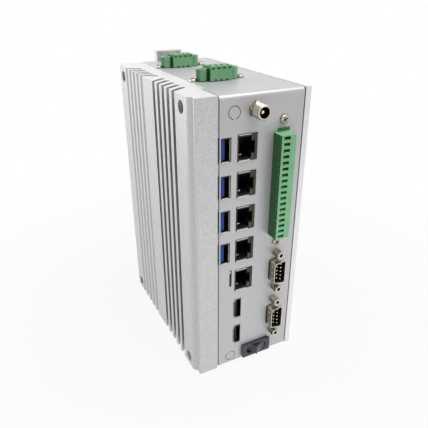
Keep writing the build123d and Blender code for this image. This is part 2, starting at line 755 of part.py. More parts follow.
with BuildPart() as jack_inserts:
    for z in countdown(NET_Z, NET_COUNT):
        with BuildSketch(FACE):
            with Locations((NET_X, z)):
                Rectangle(NET_WIDTH - 2 * SHELL - 0.1, NET_HEIGHT - 2 * SHELL - 0.1)
        extrude(amount=-(NET_DEPTH - 2 * SHELL))
        with BuildSketch(FACE):
            with Locations((NET_BAY_X, z)):
                Rectangle(NET_BAY_WIDTH, NET_BAY_HEIGHT)
            with Locations((NET_KEY_X, z)):
                Rectangle(NET_KEY_WIDTH, NET_KEY_HEIGHT, align=(Align.MIN, Align.CENTER))
        extrude(amount=-NET_BAY_DEPTH, mode=Mode.SUBTRACT)
        with BuildSketch(FACE):
            with Locations((LAMP_X, z + LAMP_Z), (LAMP_X, z - LAMP_Z)):
                Rectangle(LAMP_WIDTH + 0.05, LAMP_HEIGHT + 0.05)
        extrude(amount=-LAMP_DEPTH, mode=Mode.SUBTRACT)
jack_inserts.part.label = "jack_inserts"
export_step(jack_inserts.part, "parts/jack_inserts.step")

with BuildPart() as jack_lamps:
    with BuildSketch(FACE.offset(0.1)):
        for z in countdown(NET_Z, NET_COUNT):
            with Locations((LAMP_X, z + LAMP_Z), (LAMP_X, z - LAMP_Z)):
                Rectangle(LAMP_WIDTH - 0.05, LAMP_HEIGHT - 0.1)
    extrude(amount=-LAMP_DEPTH)
jack_lamps.part.label = "jack_lamps"
export_step(jack_lamps.part, "parts/jack_lamps.step")

with BuildPart() as jack_contacts:
    left = NET_BAY_X - NET_BAY_WIDTH / 2 + 0.05
    wires = [
        z + (k - (CONTACT_COUNT - 1) / 2) * CONTACT_PITCH
        for z in countdown(NET_Z, NET_COUNT)
        for k in range(CONTACT_COUNT)
    ]
    for z in wires:
        with BuildSketch(Plane.XY.offset(z - CONTACT_WIDTH / 2)):
            with BuildLine():
                Polyline(
                    (left, Y_FRONT + CONTACT_START),
                    (left + CONTACT_THICKNESS, Y_FRONT + CONTACT_START),
                    (left + CONTACT_THICKNESS + CONTACT_RISE, Y_FRONT + NET_BAY_DEPTH),
                    (left + CONTACT_RISE, Y_FRONT + NET_BAY_DEPTH),
                    close=True,
                )
            make_face()
        extrude(amount=CONTACT_WIDTH)
jack_contacts.part.label = "jack_contacts"
export_step(jack_contacts.part, "parts/jack_contacts.step")

# Video ports
for number, z in enumerate(VIDEO_Z, start=1):
    with BuildPart() as video_port:
        with BuildSketch(FACE.offset(PROUD)):
            with Locations((VIDEO_X, z)):
                add(video_outline(0))
                add(video_outline(-SHELL), mode=Mode.SUBTRACT)
        extrude(amount=-(VIDEO_DEPTH + PROUD))
    video_port.part.label = f"video_port_{number}"
    export_step(video_port.part, f"parts/video_port_{number}.step")

with BuildPart() as video_tongues:
    for z in VIDEO_Z:
        with BuildSketch(FACE.offset(-VIDEO_DEPTH + VIDEO_BLOCK)):
            with Locations((VIDEO_X, z)):
                add(video_outline(-SHELL - 0.05))
        extrude(amount=-VIDEO_BLOCK)
        with BuildSketch(FACE.offset(-TONGUE_SETBACK)):
            with Locations((VIDEO_X + VIDEO_TONGUE_SHIFT, z)):
                Rectangle(VIDEO_TONGUE, VIDEO_HEIGHT - 3.2)
        extrude(amount=-(VIDEO_DEPTH - TONGUE_SETBACK - VIDEO_BLOCK))
video_tongues.part.label = "video_tongues"
export_step(video_tongues.part, "parts/video_tongues.step")

# Card slot: a thin cage on the board behind the panel
with BuildPart() as card_slot:
    with BuildSketch(FACE.offset(-SHEET - 0.05)):
        with Locations((X_BOARD, CARD_Z)):
            Rectangle(
                CARD_WIDTH + 2 * CAGE_WALL,
                CARD_HEIGHT + 2 * CAGE_WALL,
                align=(Align.MAX, Align.CENTER),
            )
    extrude(amount=-CARD_DEPTH)
    with BuildSketch(FACE.offset(-SHEET - 0.05)):
        with Locations((X_BOARD - CAGE_WALL, CARD_Z)):
            Rectangle(CARD_WIDTH, CARD_HEIGHT, align=(Align.MAX, Align.CENTER))
    extrude(amount=-CARD_DEPTH + 1.0, mode=Mode.SUBTRACT)
card_slot.part.label = "card_slot"
export_step(card_slot.part, "parts/card_slot.step")

# Power jack: barrel through the panel, nut in front, body behind
with BuildPart() as power_jack:
    with BuildSketch(FACE.offset(JACK_STAND)):
        with Locations((JACK_X, JACK_Z)):
            Circle(JACK_BARREL)
    extrude(amount=-(JACK_STAND + SHEET))
    with BuildSketch(FACE.offset(-SHEET)):
        with Locations((JACK_X, JACK_Z)):
            Circle(JACK_BODY)
    extrude(amount=-JACK_BODY_DEPTH)
    mouth = power_jack.edges().group_by(Axis.Y)[0]
    chamfer(mouth, length=0.3)
    with BuildSketch(FACE.offset(JACK_STAND)):
        with Locations((JACK_X, JACK_Z)):
            Circle(JACK_BORE)
    extrude(amount=-(JACK_STAND + JACK_BODY_DEPTH - 3.0), mode=Mode.SUBTRACT)
    with BuildSketch(FACE.offset(-JACK_BODY_DEPTH + 3.0)):
        with Locations((JACK_X, JACK_Z)):
            Circle(JACK_PIN)
    extrude(amount=-SHEET - 3.0, mode=Mode.SUBTRACT)
power_jack.part.label = "power_jack"
export_step(power_jack.part, "parts/power_jack.step")

with BuildPart() as power_jack_nut:
    with BuildSketch(FACE):
        with Locations((JACK_X, JACK_Z)):
            RegularPolygon(JACK_NUT_CORNER, 6, rotation=10)
            Circle(JACK_BARREL + 0.05, mode=Mode.SUBTRACT)
    extrude(amount=JACK_NUT_HEIGHT)
power_jack_nut.part.label = "power_jack_nut"
export_step(power_jack_nut.part, "parts/power_jack_nut.step")

with BuildPart() as power_jack_pin:
    with BuildSketch(FACE.offset(JACK_STAND - 1.5)):
        with Locations((JACK_X, JACK_Z)):
            Circle(JACK_PIN - 0.02)
    extrude(amount=-(JACK_STAND - 1.5 + SHEET + JACK_BODY_DEPTH))
    fillet(power_jack_pin.edges().group_by(Axis.Y)[0], radius=0.6)
power_jack_pin.part.label = "power_jack_pin"
export_step(power_jack_pin.part, "parts/power_jack_pin.step")

# Serial connectors: shell with flange, insulator, pins, threaded hex jackscrews
for number, z in enumerate(SERIAL_Z, start=1):
    with BuildPart() as serial_shell:
        with BuildSketch(FACE.offset(-SHEET)):
            with Locations((SERIAL_X, z)):
                RectangleRounded(*SERIAL_FLANGE, 1.0)
        extrude(amount=-SERIAL_FLANGE_SHEET)
        with BuildSketch(FACE.offset(SERIAL_STAND)):
            with Locations((SERIAL_X, z)):
                add(serial_outline(0))
        extrude(amount=-(SERIAL_STAND + SHEET + SERIAL_FLANGE_SHEET / 2))
        with BuildSketch(FACE.offset(SERIAL_STAND)):
            with Locations((SERIAL_X, z)):
                add(serial_outline(-SERIAL_WALL))
        extrude(amount=-(SERIAL_STAND + SHEET + SERIAL_FLANGE_SHEET), mode=Mode.SUBTRACT)
        with BuildSketch(FACE.offset(-SHEET)):
            for side in (-1, 1):
                with Locations((SERIAL_X, z + side * SERIAL_SCREW_SPACING / 2)):
                    Circle(HEX_TAIL + FIT)
        extrude(amount=-SERIAL_FLANGE_SHEET, mode=Mode.SUBTRACT)
        # contact dimples on the shell's narrow side
        dimple_plane = Plane(
            origin=(SERIAL_X - SERIAL_ACROSS / 2, Y_FRONT - 3.4, z), x_dir=(0, -1, 0), z_dir=(-1, 0, 0)
        )
        with BuildSketch(dimple_plane):
            with GridLocations(1, 4.4, 1, 3):
                Circle(DIMPLE_RADIUS)
        extrude(amount=DIMPLE_STAND, taper=25)
    serial_shell.part.label = f"serial_shell_{number}"
    export_step(serial_shell.part, f"parts/serial_shell_{number}.step")

SERIAL_PIN_PLACES = [
    (SERIAL_X + row * PIN_ROW, z + (k - (count - 1) / 2) * PIN_PITCH)
    for z in SERIAL_Z
    for row, count in ((1, 5), (-1, 4))
    for k in range(count)
]
SERIAL_BLOCK_BACK = SHEET + SERIAL_FLANGE_SHEET + SERIAL_BLOCK_DEPTH
with BuildPart() as serial_insulators:
    for z in SERIAL_Z:
        with BuildSketch(FACE.offset(-0.4)):
            with Locations((SERIAL_X, z)):
                add(serial_outline(-SERIAL_WALL - 0.05))
        extrude(amount=-(SHEET + SERIAL_FLANGE_SHEET - 0.4))
        with BuildSketch(FACE.offset(-SHEET - SERIAL_FLANGE_SHEET)):
            with Locations((SERIAL_X - SERIAL_ACROSS / 2, z)):
                Rectangle(
                    X_IO_BOARD - SERIAL_X + SERIAL_ACROSS / 2,
                    SERIAL_WIDE + 1.0,
                    align=(Align.MIN, Align.CENTER),
                )
        extrude(amount=-SERIAL_BLOCK_DEPTH)
    with BuildSketch(FACE):
        with Locations(*SERIAL_PIN_PLACES):
            Circle(PIN_RADIUS + 0.01)
    extrude(amount=-SERIAL_BLOCK_BACK, mode=Mode.SUBTRACT)
serial_insulators.part.label = "serial_insulators"
export_step(serial_insulators.part, "parts/serial_insulators.step")

with BuildPart() as serial_pins:
    with BuildSketch(FACE.offset(PIN_STAND)):
        with Locations(*SERIAL_PIN_PLACES):
            Circle(PIN_RADIUS)
    extrude(amount=-(PIN_STAND + SERIAL_BLOCK_BACK + 1.5))
    chamfer(serial_pins.edges().group_by(Axis.Y)[0], length=0.2)
serial_pins.part.label = "serial_pins"
export_step(serial_pins.part, "parts/serial_pins.step")

with BuildPart() as serial_jackscrews:
    places = [(SERIAL_X, z) for z in SERIAL_SCREW_Z]
    with BuildSketch(FACE.offset(SERIAL_STAND)):
        with Locations(*places):
            RegularPolygon(HEX_FLATS / 2, 6, major_radius=False, rotation=30)
    extrude(amount=-SERIAL_STAND)
    with BuildSketch(FACE):
        with Locations(*places):
            Circle(HEX_TAIL)
    extrude(amount=-(SHEET + SERIAL_FLANGE_SHEET + 3.0))
    with BuildSketch(FACE.offset(SERIAL_STAND)):
        with Locations(*places):
            Circle(HEX_THREAD)
    extrude(amount=-HEX_THREAD_DEPTH, mode=Mode.SUBTRACT)
serial_jackscrews.part.label = "serial_jackscrews"
export_step(serial_jackscrews.part, "parts/serial_jackscrews.step")


# Terminal blocks, made flat at the origin and then placed on the panel and on the top
def terminal_plug(poles, bosses):
    """The plug: overhanging body with wire windows, clamp holes and a root for the header."""
    length = poles * POLE_PITCH
    with BuildPart() as plug:
        with BuildSketch(Plane.XZ):
            with BuildLine():
                Polyline(
                    (PLUG_LOW, PLUG_GAP),
                    (PLUG_LOW, PLUG_STAND),
                    (PLUG_HIGH - PLUG_CHAMFER, PLUG_STAND),
                    (PLUG_HIGH, PLUG_STAND - PLUG_CHAMFER),
                    (PLUG_HIGH, PLUG_GAP),
                    (PLUG_ROOT_HALF, PLUG_GAP),
                    (PLUG_ROOT_HALF, -PLUG_ROOT),
                    (-PLUG_ROOT_HALF, -PLUG_ROOT),
                    (-PLUG_ROOT_HALF, PLUG_GAP),
                    close=True,
                )
            make_face()
        extrude(amount=length / 2 - PLUG_END, both=True)
        if bosses:
            with BuildSketch(Plane.XY.offset(PLUG_GAP)):
                with Locations((BOSS_U, BOSS_OFFSET), (BOSS_U, -BOSS_OFFSET)):
                    Circle(BOSS_RADIUS)
            extrude(amount=PLUG_STAND - BOSS_DROP - PLUG_GAP)
            with BuildSketch(Plane.XY.offset(BOSS_SEAT)):
                with Locations((BOSS_U, BOSS_OFFSET), (BOSS_U, -BOSS_OFFSET)):
                    Circle(BOSS_HOLE)
            extrude(amount=PLUG_STAND, mode=Mode.SUBTRACT)
            with BuildSketch(Plane.XY):
                with Locations((BOSS_U, BOSS_OFFSET), (BOSS_U, -BOSS_OFFSET)):
                    Circle(FLANGE_SCREW + 0.1)
            extrude(amount=PLUG_STAND, mode=Mode.SUBTRACT)
        with BuildSketch(Plane.XY.offset(PLUG_STAND)):
            with Locations((WINDOW_U, 0)):
                with GridLocations(1, POLE_PITCH, 1, poles):
                    Rectangle(WINDOW_WIDTH, WINDOW_HEIGHT)
        extrude(amount=-WINDOW_DEPTH, taper=WINDOW_TAPER, mode=Mode.SUBTRACT)
        notch_side = Plane(origin=(PLUG_LOW, 0, 0), x_dir=(0, -1, 0), z_dir=(-1, 0, 0))
        with BuildSketch(notch_side):
            with Locations((0, PLUG_STAND - NOTCH_SETBACK - NOTCH_LENGTH / 2)):
                with GridLocations(POLE_PITCH, 1, poles, 1):
                    Rectangle(NOTCH_WIDTH, NOTCH_LENGTH)
        extrude(amount=-NOTCH_DEPTH, mode=Mode.SUBTRACT)
        clamp_side = Plane(origin=(PLUG_HIGH, 0, 0), x_dir=(0, 1, 0), z_dir=(1, 0, 0))
        with BuildSketch(clamp_side):
            with Locations((0, CLAMP_H)):
                with GridLocations(POLE_PITCH, 1, poles, 1):
                    Circle(CLAMP_RADIUS + 0.1)
        extrude(amount=-(CLAMP_LENGTH + CLAMP_SINK), mode=Mode.SUBTRACT)
        with BuildSketch(Plane.XY.offset(-PLUG_ROOT)):
            with GridLocations(1, POLE_PITCH, 1, poles):
                Rectangle(TERMINAL_PIN + 2 * FIT, TERMINAL_PIN + 2 * FIT)
        extrude(amount=PLUG_ROOT - 1.0, mode=Mode.SUBTRACT)
    return plug.part


def clamp_screws(poles):
    """Slotted clamp screws, seated in the plug's far side."""
    with BuildPart() as screws:
        base = Plane(origin=(PLUG_HIGH - CLAMP_SINK, 0, 0), x_dir=(0, 1, 0), z_dir=(1, 0, 0))
        with BuildSketch(base):
            with Locations((0, CLAMP_H)):
                with GridLocations(POLE_PITCH, 1, poles, 1):
                    Circle(CLAMP_RADIUS)
        extrude(amount=-CLAMP_LENGTH)
        with BuildSketch(base):
            with Locations((0, CLAMP_H)):
                with GridLocations(POLE_PITCH, 1, poles, 1):
                    Rectangle(0.5, 2 * CLAMP_RADIUS + 0.2)
        extrude(amount=-0.6, mode=Mode.SUBTRACT)
    return screws.part


def terminal_header(poles, end, screw_u, screw_place, far_reach):
    """The header behind the sheet: a shroud that the root enters, with an ear at each end."""
    length = poles * POLE_PITCH
    with BuildPart() as header:
        with BuildSketch():
            Rectangle(2 * (HEADER_HALF - FIT), length + 2 * end)
        extrude(amount=-HEADER_DEPTH)
        with BuildSketch(Plane.XY.offset(-SHEET)):
            with Locations((0, -screw_place - EAR_REACH)):
                Rectangle(
                    2 * (HEADER_HALF - FIT),
                    2 * screw_place + EAR_REACH + far_reach,
                    align=(Align.CENTER, Align.MIN),
                )
        extrude(amount=-EAR_SHEET)
        with BuildSketch():
            Rectangle(2 * (PLUG_ROOT_HALF + FIT), length)
        extrude(amount=-HEADER_CAVITY, mode=Mode.SUBTRACT)
        with BuildSketch():
            with GridLocations(1, POLE_PITCH, 1, poles):
                Rectangle(TERMINAL_PIN + 0.04, TERMINAL_PIN + 0.04)
            with Locations((screw_u, screw_place), (screw_u, -screw_place)):
                Circle(PANEL_SCREW_SHANK + 0.05)
        extrude(amount=-HEADER_DEPTH, mode=Mode.SUBTRACT)
        if end > BOSS_RADIUS:
            with BuildSketch():
                with Locations((BOSS_U, BOSS_OFFSET), (BOSS_U, -BOSS_OFFSET)):
                    Circle(FLANGE_SCREW + 0.05)
            extrude(amount=-FLANGE_THREAD, mode=Mode.SUBTRACT)
    return header.part


def terminal_pins(poles):
    """Square pins through the header's floor into the plug's root."""
    with BuildPart() as pins:
        with BuildSketch(Plane.XY.offset(-1.8)):
            with GridLocations(1, POLE_PITCH, 1, poles):
                Rectangle(TERMINAL_PIN, TERMINAL_PIN)
        extrude(amount=-(HEADER_DEPTH + 1.5))
    return pins.part


IO_FRAME = Plane(origin=(IO_X, Y_FRONT, IO_Z), x_dir=(1, 0, 0), z_dir=(0, -1, 0))
TOP_FRAMES = [Plane(origin=(TOP_X, y, HEIGHT), x_dir=(0, 1, 0), z_dir=(0, 0, 1)) for y in TOP_Y]

with BuildPart() as io_plug:
    with Locations(IO_FRAME.location):
        add(terminal_plug(IO_POLES, False))
io_plug.part.label = "io_plug"
export_step(io_plug.part, "parts/io_plug.step")

with BuildPart() as io_header:
    with Locations(IO_FRAME.location):
        add(terminal_header(IO_POLES, HEADER_END, IO_SCREW_U, IO_SCREW, EAR_REACH))
    # foot that reaches the side board
    with Locations((IO_X + HEADER_HALF - FIT, Y_FRONT + HEADER_DEPTH, IO_Z)):
        Box(
            X_IO_BOARD - IO_X - HEADER_HALF + FIT,
            HEADER_FOOT,
            IO_LENGTH,
            align=(Align.MIN, Align.MAX, Align.CENTER),
        )
io_header.part.label = "io_header"
export_step(io_header.part, "parts/io_header.step")

top_plug_body = terminal_plug(TOP_POLES, True)
for number, frame in enumerate(TOP_FRAMES, start=1):
    with BuildPart() as top_plug:
        with Locations(frame.location):
            add(top_plug_body)
    top_plug.part.label = f"top_plug_{number}"
    export_step(top_plug.part, f"parts/top_plug_{number}.step")

with BuildPart() as top_headers:
    with Locations(*[frame.location for frame in TOP_FRAMES]):
        add(terminal_header(TOP_POLES, TOP_HEADER_END, BOSS_U, TOP_SCREW, TOP_EAR_SHORT))
top_headers.part.label = "top_headers"
export_step(top_headers.part, "parts/top_headers.step")

with BuildPart() as header_pins:
    with Locations(IO_FRAME.location):
        add(terminal_pins(IO_POLES))
    with Locations(*[frame.location for frame in TOP_FRAMES]):
        add(terminal_pins(TOP_POLES))
header_pins.part.label = "header_pins"
export_step(header_pins.part, "parts/header_pins.step")

with BuildPart() as plug_clamp_screws:
    with Locations(IO_FRAME.location):
        add(clamp_screws(IO_POLES))
    with Locations(*[frame.location for frame in TOP_FRAMES]):
        add(clamp_screws(TOP_POLES))
plug_clamp_screws.part.label = "plug_clamp_screws"
export_step(plug_clamp_screws.part, "parts/plug_clamp_screws.step")

with BuildPart() as header_screws:
    screw = pan_screw(PANEL_SCREW_HEAD, PANEL_SCREW_HEIGHT, PANEL_SCREW_SHANK, SHEET + EAR_SHEET + 1.0)
    for side in (-1, 1):
        with Locations(IO_FRAME * Location((IO_SCREW_U, side * IO_SCREW, 0))):
            add(screw)
        with Locations(*[frame * Location((BOSS_U, side * TOP_SCREW, 0)) for frame in TOP_FRAMES]):
            add(screw)
header_screws.part.label = "header_screws"
export_step(header_screws.part, "parts/header_screws.step")

with BuildPart() as boss_screws:
    for frame in TOP_FRAMES:
        for side in (-1, 1):
            base = Plane(frame * Location((BOSS_U, side * BOSS_OFFSET, 0)))
            with BuildSketch(base.offset(PLUG_STAND - BOSS_DROP - BOSS_SINK)):
                Circle(BOSS_HOLE - 0.1)
            extrude(amount=-(PLUG_STAND - BOSS_DROP - BOSS_SINK - BOSS_SEAT))
            with BuildSketch(base.offset(BOSS_SEAT)):
                Circle(FLANGE_SCREW)
            extrude(amount=-(BOSS_SEAT + FLANGE_THREAD - 0.5))
            with BuildSketch(base.offset(PLUG_STAND - BOSS_DROP - BOSS_SINK)):
                Rectangle(0.6, 2 * BOSS_HOLE)
            extrude(amount=-0.8, mode=Mode.SUBTRACT)
boss_screws.part.label = "boss_screws"
export_step(boss_screws.part, "parts/boss_screws.step")

# Rocker switch: bezel and body in one piece
with BuildPart() as switch_body:
    with BuildSketch(FACE):
        with Locations((SWITCH_X, SWITCH_Z)):
            RectangleRounded(BEZEL_WIDTH, BEZEL_HEIGHT, 1.2)
    extrude(amount=BEZEL_STAND)
    front_face = switch_body.faces().sort_by(Axis.Y)[0]
    chamfer(front_face.edges(), length=0.5)
    with BuildSketch(FACE):
        with Locations((SWITCH_X, SWITCH_Z)):
            Rectangle(SWITCH_BODY_WIDTH, SWITCH_BODY_HEIGHT)
    extrude(amount=-SWITCH_BODY_DEPTH)
    with BuildSketch(FACE.offset(BEZEL_STAND)):
        with Locations((SWITCH_X, SWITCH_Z)):
            RectangleRounded(SWITCH_WELL_WIDTH, SWITCH_WELL_HEIGHT, SWITCH_WELL_CORNER)
    extrude(amount=-(BEZEL_STAND + SWITCH_WELL), mode=Mode.SUBTRACT)
    # holes for the rocker's axle stubs
    with BuildSketch(Plane.XY.offset(SWITCH_Z)):
        with Locations((SWITCH_X, Y_FRONT)):
            Circle(AXLE_RADIUS + AXLE_PLAY)
    extrude(amount=SWITCH_WELL_HEIGHT / 2 + AXLE_REACH + 0.05, both=True, mode=Mode.SUBTRACT)
switch_body.part.label = "switch_body"
export_step(switch_body.part, "parts/switch_body.step")

# The rocker, drawn about its axle and tilted to its resting side
tilt = math.radians(-ROCKER_TILT)
rocker_frame = Plane(
    origin=(SWITCH_X, Y_FRONT, SWITCH_Z),
    x_dir=(math.cos(tilt), math.sin(tilt), 0),
    z_dir=(0, 0, 1),
)
rocker_front = Plane(
    origin=(SWITCH_X, Y_FRONT, SWITCH_Z),
    x_dir=(math.cos(tilt), math.sin(tilt), 0),
    z_dir=(math.sin(tilt), -math.cos(tilt), 0),
)
with BuildPart() as rocker:
    with BuildSketch(rocker_frame):
        with BuildLine():
            edge_x = math.sqrt(ROCKER_REACH**2 - ROCKER_SKIRT**2)
            mid_y = -(ROCKER_RIDGE + ROCKER_END) / 2 + ROCKER_DISH
            Line((-edge_x, ROCKER_SKIRT), (edge_x, ROCKER_SKIRT))
            ThreePointArc((edge_x, ROCKER_SKIRT), (ROCKER_REACH, 0), (ROCKER_HALF, -ROCKER_END))
            ThreePointArc((ROCKER_HALF, -ROCKER_END), (ROCKER_HALF / 2, mid_y), (0, -ROCKER_RIDGE))
            ThreePointArc((0, -ROCKER_RIDGE), (-ROCKER_HALF / 2, mid_y), (-ROCKER_HALF, -ROCKER_END))
            ThreePointArc((-ROCKER_HALF, -ROCKER_END), (-ROCKER_REACH, 0), (-edge_x, ROCKER_SKIRT))
        make_face()
    extrude(amount=ROCKER_HEIGHT / 2, both=True)
    with BuildSketch(rocker_front.offset(-ROCKER_SKIRT - 1.0)):
        SlotOverall(2 * ROCKER_REACH, ROCKER_HEIGHT)
    extrude(amount=ROCKER_SKIRT + ROCKER_RIDGE + 2.0, mode=Mode.INTERSECT)
    with BuildSketch(rocker_frame):
        Circle(AXLE_RADIUS)
    extrude(amount=SWITCH_WELL_HEIGHT / 2 + AXLE_REACH, both=True)
rocker.part.label = "rocker"
export_step(rocker.part, "parts/rocker.step")

with BuildPart() as switch_terminals:
    with BuildSketch(FACE.offset(-SWITCH_BODY_DEPTH)):
        with Locations((SWITCH_X - BLADE_SPREAD, SWITCH_Z), (SWITCH_X + BLADE_SPREAD, SWITCH_Z)):
            Rectangle(BLADE_THICKNESS, BLADE_WIDTH)
    extrude(amount=-BLADE_LENGTH)
switch_terminals.part.label = "switch_terminals"
export_step(switch_terminals.part, "parts/switch_terminals.step")

# Rail bracket: a hat section with a fixed upper hook over its whole width
PLATE_IN = BRACKET_FOOT
PLATE_OUT = BRACKET_FOOT + BRACKET_SHEET
HOOK_OUT = PLATE_OUT + HOOK_SLOT + HOOK_LIP
RAIL_TOP = RAIL_Z + RAIL_HEIGHT / 2 + FIT
RAIL_BOTTOM = RAIL_Z - RAIL_HEIGHT / 2 - FIT
CHANNEL_HALF = LATCH_HALF + 0.3
with BuildPart() as rail_bracket:
    with BuildSketch(BACK):
        with Locations((CLIP_X, (BRACKET_LOW + BRACKET_HIGH) / 2)):
            RectangleRounded(2 * BRACKET_HALF, BRACKET_HIGH - BRACKET_LOW, 2.0)
    extrude(amount=-PLATE_OUT)
    with BuildSketch(BACK):
        with Locations((CLIP_X, (BRACKET_LOW + BRACKET_HIGH) / 2)):
            Rectangle(2 * CHANNEL_HALF, BRACKET_HIGH - BRACKET_LOW)
    extrude(amount=-PLATE_IN, mode=Mode.SUBTRACT)
    with BuildSketch(Plane.YZ.offset(CLIP_X)):
        with BuildLine():
            Polyline(
                (Y_BACK + PLATE_OUT, RAIL_TOP),
                (Y_BACK + PLATE_OUT + HOOK_SLOT, RAIL_TOP),
                (Y_BACK + PLATE_OUT + HOOK_SLOT, RAIL_TOP - HOOK_OVERLAP),
                (Y_BACK + HOOK_OUT - 0.8, RAIL_TOP - HOOK_OVERLAP),
                (Y_BACK + HOOK_OUT, RAIL_TOP - HOOK_OVERLAP + 1.2),
                (Y_BACK + HOOK_OUT, RAIL_TOP + HOOK_ROOT - 1.5),
                (Y_BACK + HOOK_OUT - 1.5, RAIL_TOP + HOOK_ROOT),
                (Y_BACK + PLATE_OUT, RAIL_TOP + HOOK_ROOT),
                close=True,
            )
        make_face()
    extrude(amount=BRACKET_HALF, both=True)
    with BuildSketch(BACK):
        foot_low = RAIL_BOTTOM - HOOK_ROOT - LATCH_TRAVEL - 0.5
        with Locations((CLIP_X, foot_low)):
            Rectangle(
                2 * CHANNEL_HALF,
                RAIL_BOTTOM + 0.4 - foot_low,
                align=(Align.CENTER, Align.MIN),
            )
        with Locations((CLIP_X, SPRING_FOOT)):
            Rectangle(
                2 * SPRING_WINDOW,
                SPRING_LENGTH + 0.6,
                align=(Align.CENTER, Align.MIN),
            )
        with Locations(*BRACKET_SCREW_PLACES):
            Circle(M3_HOLE)
    extrude(amount=-PLATE_OUT, mode=Mode.SUBTRACT)
rail_bracket.part.label = "rail_bracket"
export_step(rail_bracket.part, "parts/rail_bracket.step")

with BuildPart() as bracket_screws:
    screw = pan_screw(M3_HEAD, M3_HEAD_HEIGHT, M3_SHANK, PLATE_OUT + BACK_SHEET + 1.5)
    with Locations(*[REAR * Location((-x, z, PLATE_OUT)) for x, z in BRACKET_SCREW_PLACES]):
        add(screw)
bracket_screws.part.label = "bracket_screws"
export_step(bracket_screws.part, "parts/bracket_screws.step")

# Rail latch: strip in the bracket's channel, lower hook, spring window, tab above the top
LATCH_IN = Y_BACK + LATCH_GAP
LATCH_OUT = LATCH_IN + LATCH_SHEET
TAB_OUT = LATCH_IN + TAB_DEPTH
TAB_BASE = HEIGHT - TAB_LOW
TAB_HEAD = HEIGHT + TAB_TOP
with BuildPart() as rail_latch:
    with BuildSketch(Plane.YZ.offset(CLIP_X)):
        with BuildLine():
            Polyline(
                (LATCH_IN, RAIL_BOTTOM - HOOK_ROOT),
                (Y_BACK + HOOK_OUT - 1.5, RAIL_BOTTOM - HOOK_ROOT),
                (Y_BACK + HOOK_OUT, RAIL_BOTTOM - HOOK_ROOT + 1.5),
                (Y_BACK + HOOK_OUT, RAIL_BOTTOM + HOOK_OVERLAP - 1.2),
                (Y_BACK + HOOK_OUT - 0.8, RAIL_BOTTOM + HOOK_OVERLAP),
                (Y_BACK + PLATE_OUT + HOOK_SLOT, RAIL_BOTTOM + HOOK_OVERLAP),
                (Y_BACK + PLATE_OUT + HOOK_SLOT, RAIL_BOTTOM),
                (LATCH_OUT, RAIL_BOTTOM),
                (LATCH_OUT, TAB_BASE),
                (TAB_OUT, TAB_BASE),
                (TAB_OUT, TAB_HEAD),
                (LATCH_IN, TAB_HEAD),
                close=True,
            )
        make_face()
    extrude(amount=LATCH_HALF, both=True)
    with BuildSketch(BACK.offset(-LATCH_GAP)):
        with Locations((CLIP_X, TAB_BASE + TAB_WALL)):
            Rectangle(
                2 * (LATCH_HALF - TAB_WALL),
                TAB_HEAD - TAB_BASE - 2 * TAB_WALL,
                align=(Align.CENTER, Align.MIN),
            )
    extrude(amount=-(TAB_DEPTH - TAB_WALL), mode=Mode.SUBTRACT)
    with BuildSketch(BACK):
        with Locations((CLIP_X, SPRING_FOOT - LATCH_TRAVEL - 1.0)):
            Rectangle(
                2 * SPRING_WINDOW,
                SPRING_LENGTH + LATCH_TRAVEL + 1.0,
                align=(Align.CENTER, Align.MIN),
            )
    extrude(amount=-PLATE_OUT, mode=Mode.SUBTRACT)
rail_latch.part.label = "rail_latch"
export_step(rail_latch.part, "parts/rail_latch.step")

with BuildPart() as latch_spring:
    with BuildLine() as coil:
        Helix(
            pitch=(SPRING_LENGTH - 2 * SPRING_WIRE) / SPRING_TURNS,
            height=SPRING_LENGTH - 2 * SPRING_WIRE,
            radius=SPRING_RADIUS,
            center=(CLIP_X, Y_BACK + PLATE_IN, SPRING_FOOT + SPRING_WIRE),
        )
    start = coil.edges()[0]
    with BuildSketch(Plane(origin=start @ 0, z_dir=start % 0)):
        RegularPolygon(SPRING_WIRE, 6)
    sweep(is_frenet=True)
latch_spring.part.label = "latch_spring"
export_step(latch_spring.part, "parts/latch_spring.step")

# Main board, upright between the two columns of ports, and what it carries
with BuildPart() as main_board:
    with BuildSketch(Plane.YZ.offset(X_BOARD)):
        with Locations((Y_FRONT + BOARD_FRONT, BOARD_LOW)):
            Rectangle(
                DEPTH - BOARD_FRONT - BOARD_BACK,
                BOARD_HIGH - BOARD_LOW,
                align=(Align.MIN, Align.MIN),
            )
        with Locations(*[(y, z) for y in BOARD_SCREW_Y for z in BOARD_SCREW_Z]):
            Circle(M3_HOLE, mode=Mode.SUBTRACT)
    extrude(amount=BOARD_THICKNESS)
main_board.part.label = "main_board"
export_step(main_board.part, "parts/main_board.step")

X_BOARD_FAR = X_BOARD + BOARD_THICKNESS
with BuildPart() as board_standoffs:
    with BuildSketch(Plane.YZ.offset(X_SINK_INNER)):
        with Locations(*[(y, z) for y in BOARD_SCREW_Y for z in BOARD_SCREW_Z]):
            Circle(STANDOFF_RADIUS)
            Circle(M3_SHANK + 0.05, mode=Mode.SUBTRACT)
    extrude(amount=X_BOARD - X_SINK_INNER)
board_standoffs.part.label = "board_standoffs"
export_step(board_standoffs.part, "parts/board_standoffs.step")

with BuildPart() as board_screws:
    screw = pan_screw(M3_HEAD, M3_HEAD_HEIGHT, M3_SHANK, BOARD_THICKNESS + 4.5)
    far_side = Plane(origin=(X_BOARD_FAR, 0, 0), x_dir=(0, 1, 0), z_dir=(1, 0, 0))
    with Locations(*[far_side * Location((y, z, 0)) for y in BOARD_SCREW_Y for z in BOARD_SCREW_Z]):
        add(screw)
board_screws.part.label = "board_screws"
export_step(board_screws.part, "parts/board_screws.step")

with BuildPart() as processor:
    with Locations((X_BOARD, CHIP_Y, CHIP_Z)):
        Box(CHIP_HEIGHT, CHIP_SIZE, CHIP_SIZE, align=(Align.MAX, Align.CENTER, Align.CENTER))
processor.part.label = "processor"
export_step(processor.part, "parts/processor.step")

